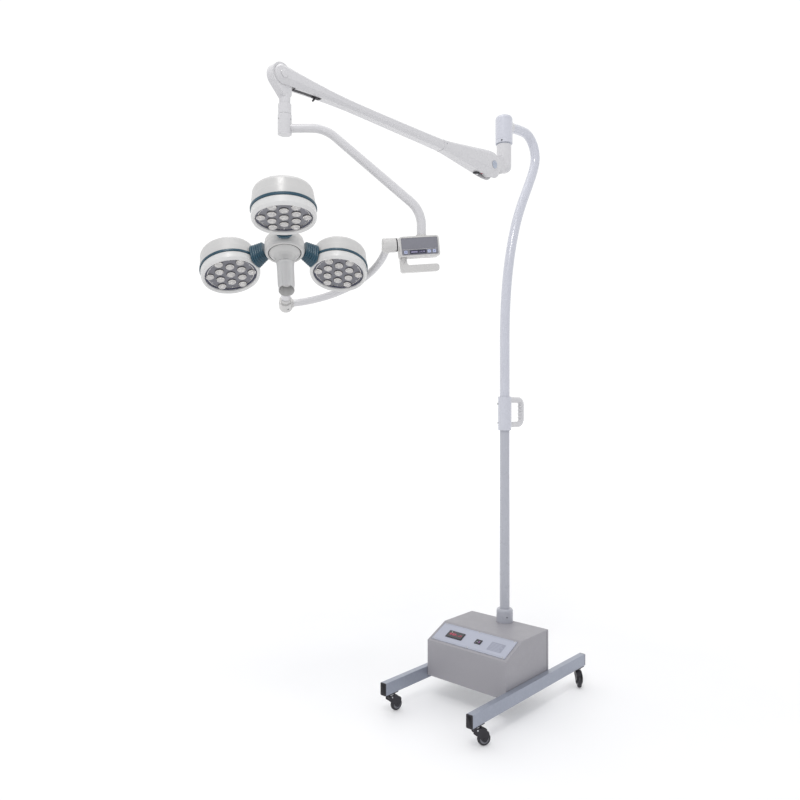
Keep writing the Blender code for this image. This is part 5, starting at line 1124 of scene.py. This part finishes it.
# one lamp pod, made three times
for side, angle in (("front", -90), ("right", 30), ("left", 150)):
    POD = HEAD @ turn(angle, "Z") @ move(0.199, 0, 0) @ turn(8.3, "Y")
    shell = Piece(f"pod_shell_{side}_skin")
    prof = rounded([(0.0, 0.0735), (0.0350, 0.0728), (0.0700, 0.0710), (0.0830, 0.0640), (0.0868, 0.0560), (0.0892, 0.0330), (0.0896, 0.0325), (0.0898, 0.0315), (0.0900, 0.0296), (0.0915, 0.0096), (0.0890, 0.0096), (0.0845, 0.0540), (0.0700, 0.0675), (0.0, 0.0705)], 0.0040, 4)
    shell.add(lathe(prof, 128), POD, SHELL)
    # three cooling louvres and a service screw on the top
    for k in range(-2, 3):
        shell.add(block((-0.020, 0.0086 * k - 0.0014, 0.0725), (0.020, 0.0086 * k + 0.0014, 0.07345), 0.0003, 1), POD @ move(z=0.00012), BLACK)
    for a in (60, 180, 300):
        c = turn(a, "Z") @ Vector((0.0600, 0, 0.0714))
        screw(shell, POD @ Matrix.Translation(c), 0.0030, 0.0012, STEEL, DARK_STEEL)
    shell.done("lamp_head", f"pod_shell_{side}", slot="lamp_shell", angle=30)

    band = Piece(f"pod_band_{side}_skin")
    band.add(lathe(rounded([(0.0890, 0.0010), (0.0936, 0.0010), (0.0944, 0.0018), (0.0944, 0.0084), (0.0936, 0.0092), (0.0890, 0.0092)], 0.0005, 2), 128), POD, TEAL)
    rings = []
    for k in range(105):
        t = k / 104
        x = -0.0925 - 0.0415 * t
        ripple = 0.0022 * abs(math.sin(math.pi * 6.0 * t)) ** 0.6
        half_w = 0.0270 - 0.0070 * t + ripple
        half_h = 0.0330 - 0.0090 * t + ripple
        mid = 0.0020 + 0.0060 * t
        rings.append([(x, y, mid + z) for y, z in section(half_w, half_h, 3.2, 56)])
    neck = loft(rings)
    # the neck starts on the pod's rim and ends at the hub's wall
    keep_out = lathe([(0.0, -0.05), (0.0612, -0.05), (0.0612, 0.06), (0.0, 0.06)], 96)
    bmesh.ops.transform(keep_out, matrix=(turn(angle, "Z") @ move(0.199, 0, 0) @ turn(8.3, "Y")).inverted(), verts=keep_out.verts)
    neck = boolean(neck, keep_out)
    for z0, z1 in ((0.0093, 0.060), (-0.060, 0.0009)):
        neck = boolean(neck, lathe([(0.0, z0), (0.0932, z0), (0.0932, z1), (0.0, z1)], 96))
    band.add(neck, POD, TEAL)
    band.done("lamp_head", f"pod_band_{side}", slot="teal_band", angle=40)

    bezel = Piece(f"pod_bezel_{side}_skin")
    bezel.add(lathe(rounded([(0.0885, 0.0006), (0.0920, 0.0006), (0.0924, -0.0080), (0.0927, -0.0200), (0.0915, -0.0240), (0.0898, -0.0278), (0.0885, -0.0292), (0.0865, -0.0288), (0.0835, -0.0262), (0.0812, -0.0240), (0.0812, -0.0175), (0.0885, -0.0175), (0.0885, 0.0006)], 0.0010, 3)[:-1], 128, loop=True), POD, BEZEL)
    for k in range(3):
        c = turn(120 * k + 45, "Z") @ Vector((0.0925, 0, -0.0100))
        bezel.add(block((-0.0012, -0.0090, -0.0022), (0.0003, 0.0090, 0.0022), 0.0005, 2), POD @ Matrix.Translation(c) @ turn(120 * k + 45, "Z"), BEZEL)
    bezel.done("lamp_head", f"pod_bezel_{side}", slot="lamp_shell", angle=30)

    array = Piece(f"pod_lens_array_{side}_skin")
    array.add(lathe([(0.0, -0.0130), (0.0868, -0.0130), (0.0870, -0.0134), (0.0870, -0.0166), (0.0868, -0.0170), (0.0, -0.0170)], 96), POD, PLATE)
    # the dark inner ring and the reflective lip behind the bezel
    array.add(disc_ring(0.0738, 0.0808, -0.0195, -0.0168, 128), POD, RING_BLUE)
    array.add(disc_ring(0.0722, 0.0736, -0.0186, -0.0168, 128), POD, REFLECTOR)
    spots = [(0.0, 0.0)] + [(0.0395 * math.cos(math.radians(60 * k)), 0.0395 * math.sin(math.radians(60 * k))) for k in range(6)] \
        + [(0.0655 * math.cos(math.radians(30 + 60 * k)), 0.0655 * math.sin(math.radians(30 + 60 * k))) for k in range(6)]
    for sx, sy in spots:
        r = 0.0126
        at = POD @ Matrix.Translation((sx, sy, -0.0170)) @ turn(180, "X")
        # cup, chip and the domed lens over them, all opening downwards
        array.add(lathe([(0.0, 0.0002), (0.0042, 0.0002), (0.0070, 0.0016), (0.0098, 0.0034), (0.0114, 0.0047), (0.0122, 0.0047), (0.0128, 0.0040), (0.0130, 0.0), (0.0130, -0.0006), (0.0, -0.0006)], 48), at, REFLECTOR)
        array.add(block((-0.0022, -0.0022, 0.0001), (0.0022, 0.0022, 0.0009), 0.0003, 2), at, LED)
        array.add(lathe([(0.0, 0.0012), (0.0050, 0.0014), (0.0080, 0.0030), (0.0112, 0.0047), (0.0121, 0.0048), (0.0116, 0.0054), (0.0098, 0.0064), (0.0072, 0.0073), (0.0040, 0.0079), (0.0, 0.0081)], 40), at, LENS)
        array.add(disc_ring(0.0128, 0.0136, -0.0006, 0.0014, 48), at, BLACK_GLOSS)
    for k in range(6):
        a = math.radians(60 * k)
        screw(array, POD @ Matrix.Translation((0.0700 * math.cos(a), 0.0700 * math.sin(a), -0.0170)) @ turn(180, "X"), 0.0022, 0.0010)
    array.done("lamp_head", f"pod_lens_array_{side}", slot="lens_plastic", angle=30)

# ------------------------------------------------------------------ materials on the CAD parts that stay
for name, mat in (("parallel_link", STEEL), ("balance_spring", DARK_STEEL)):
    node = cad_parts[name]
    node.data.materials.clear()
    node.data.materials.append(mat)

# ------------------------------------------------------------------ stage, light and camera
scene.view_settings.view_transform = "Standard"
scene.view_settings.look = "None"
scene.view_settings.exposure = 0.0
scene.view_settings.gamma = 1.0

floor_mat, tree, shader = nodes_of("pale_floor")
coord = tree.nodes.new("ShaderNodeTexCoord").outputs["Object"]
link(tree, ramp(tree, noise(tree, coord, 0.8, 3.0), [(0.3, (0.80, 0.80, 0.805)), (0.7, (0.82, 0.82, 0.825))]), shader.inputs["Base Color"])
reach = tree.nodes.new("ShaderNodeVectorMath")
reach.operation = "LENGTH"
link(tree, coord, reach.inputs[0])
span = tree.nodes.new("ShaderNodeMapRange")
span.inputs["From Min"].default_value = 1.5
span.inputs["From Max"].default_value = 9.0
link(tree, reach.outputs["Value"], span.inputs["Value"])
link(tree, ramp(tree, span.outputs["Result"], [(0.0, 0.16), (1.0, 0.55)]), shader.inputs["Emission Color"])
shader.inputs["Emission Strength"].default_value = 1.0
link(tree, ramp(tree, noise(tree, coord, 6.0, 4.0), [(0.3, 0.55), (0.7, 0.65)]), shader.inputs["Roughness"])
floor = Piece("floor_disc")
floor_mesh = lathe([(0.0, 0.0), (6.0, 0.0), (40.0, 0.0)], 96)
floor_mesh.verts.ensure_lookup_table()
for mat in (floor_mat,):
    floor.add(floor_mesh, Matrix.Translation((0, 0, -0.0005)), mat)
floor.all.to_mesh(floor.mesh)
floor.all.free()
floor.mesh.materials.append(floor_mat)
floor_obj = bpy.data.objects.new("floor_disc", floor.mesh)
scene.collection.objects.link(floor_obj)

world = bpy.data.worlds.new("studio")
world.use_nodes = True
scene.world = world
sky = world.node_tree
heading = sky.nodes.new("ShaderNodeVectorMath")
heading.operation = "DOT_PRODUCT"
heading.inputs[1].default_value = (-0.672, 0.740, 0.10)
sky.links.new(sky.nodes.new("ShaderNodeTexCoord").outputs["Generated"], heading.inputs[0])
spread = sky.nodes.new("ShaderNodeMapRange")
spread.inputs["From Min"].default_value = -1.0
spread.inputs["From Max"].default_value = 1.0
sky.links.new(heading.outputs["Value"], spread.inputs["Value"])
tones = ramp(sky, spread.outputs["Result"], [(0.0, (0.62, 0.63, 0.66)), (0.50, (0.74, 0.745, 0.77)), (0.78, (1.0, 1.0, 1.0))])
sky.links.new(tones, sky.nodes["Background"].inputs["Color"])
sky.nodes["Background"].inputs["Strength"].default_value = 1.06


def area_light(name, place, target, size, power, colour=(1.0, 1.0, 1.0)):
    data = bpy.data.lights.new(name, "AREA")
    data.shape = "DISK"
    data.size = size
    data.energy = power
    data.color = colour
    lamp = bpy.data.objects.new(name, data)
    lamp.matrix_world = Matrix.Translation(place) @ (Vector(target) - Vector(place)).to_track_quat("-Z", "Y").to_matrix().to_4x4()
    scene.collection.objects.link(lamp)
    return lamp


centre = MAST @ Vector((0, -0.5, 1.3))
area_light("key", centre + Vector((1.2, -2.2, 3.4)), centre, 1.0, 46.0, (1.0, 0.99, 0.97))
area_light("top", centre + Vector((-0.4, -0.3, 3.2)), centre, 2.0, 14.0)

camera = bpy.data.cameras.new("camera")
camera.lens = 32.12
camera.sensor_width = 36.0
camera.clip_end = 200.0
eye = bpy.data.objects.new("camera", camera)
eye.location = MAST @ Vector((1.7439, -2.5968, 1.2513))
eye.rotation_euler = (math.radians(90), 0, math.radians(42.23))
scene.collection.objects.link(eye)
scene.camera = eye
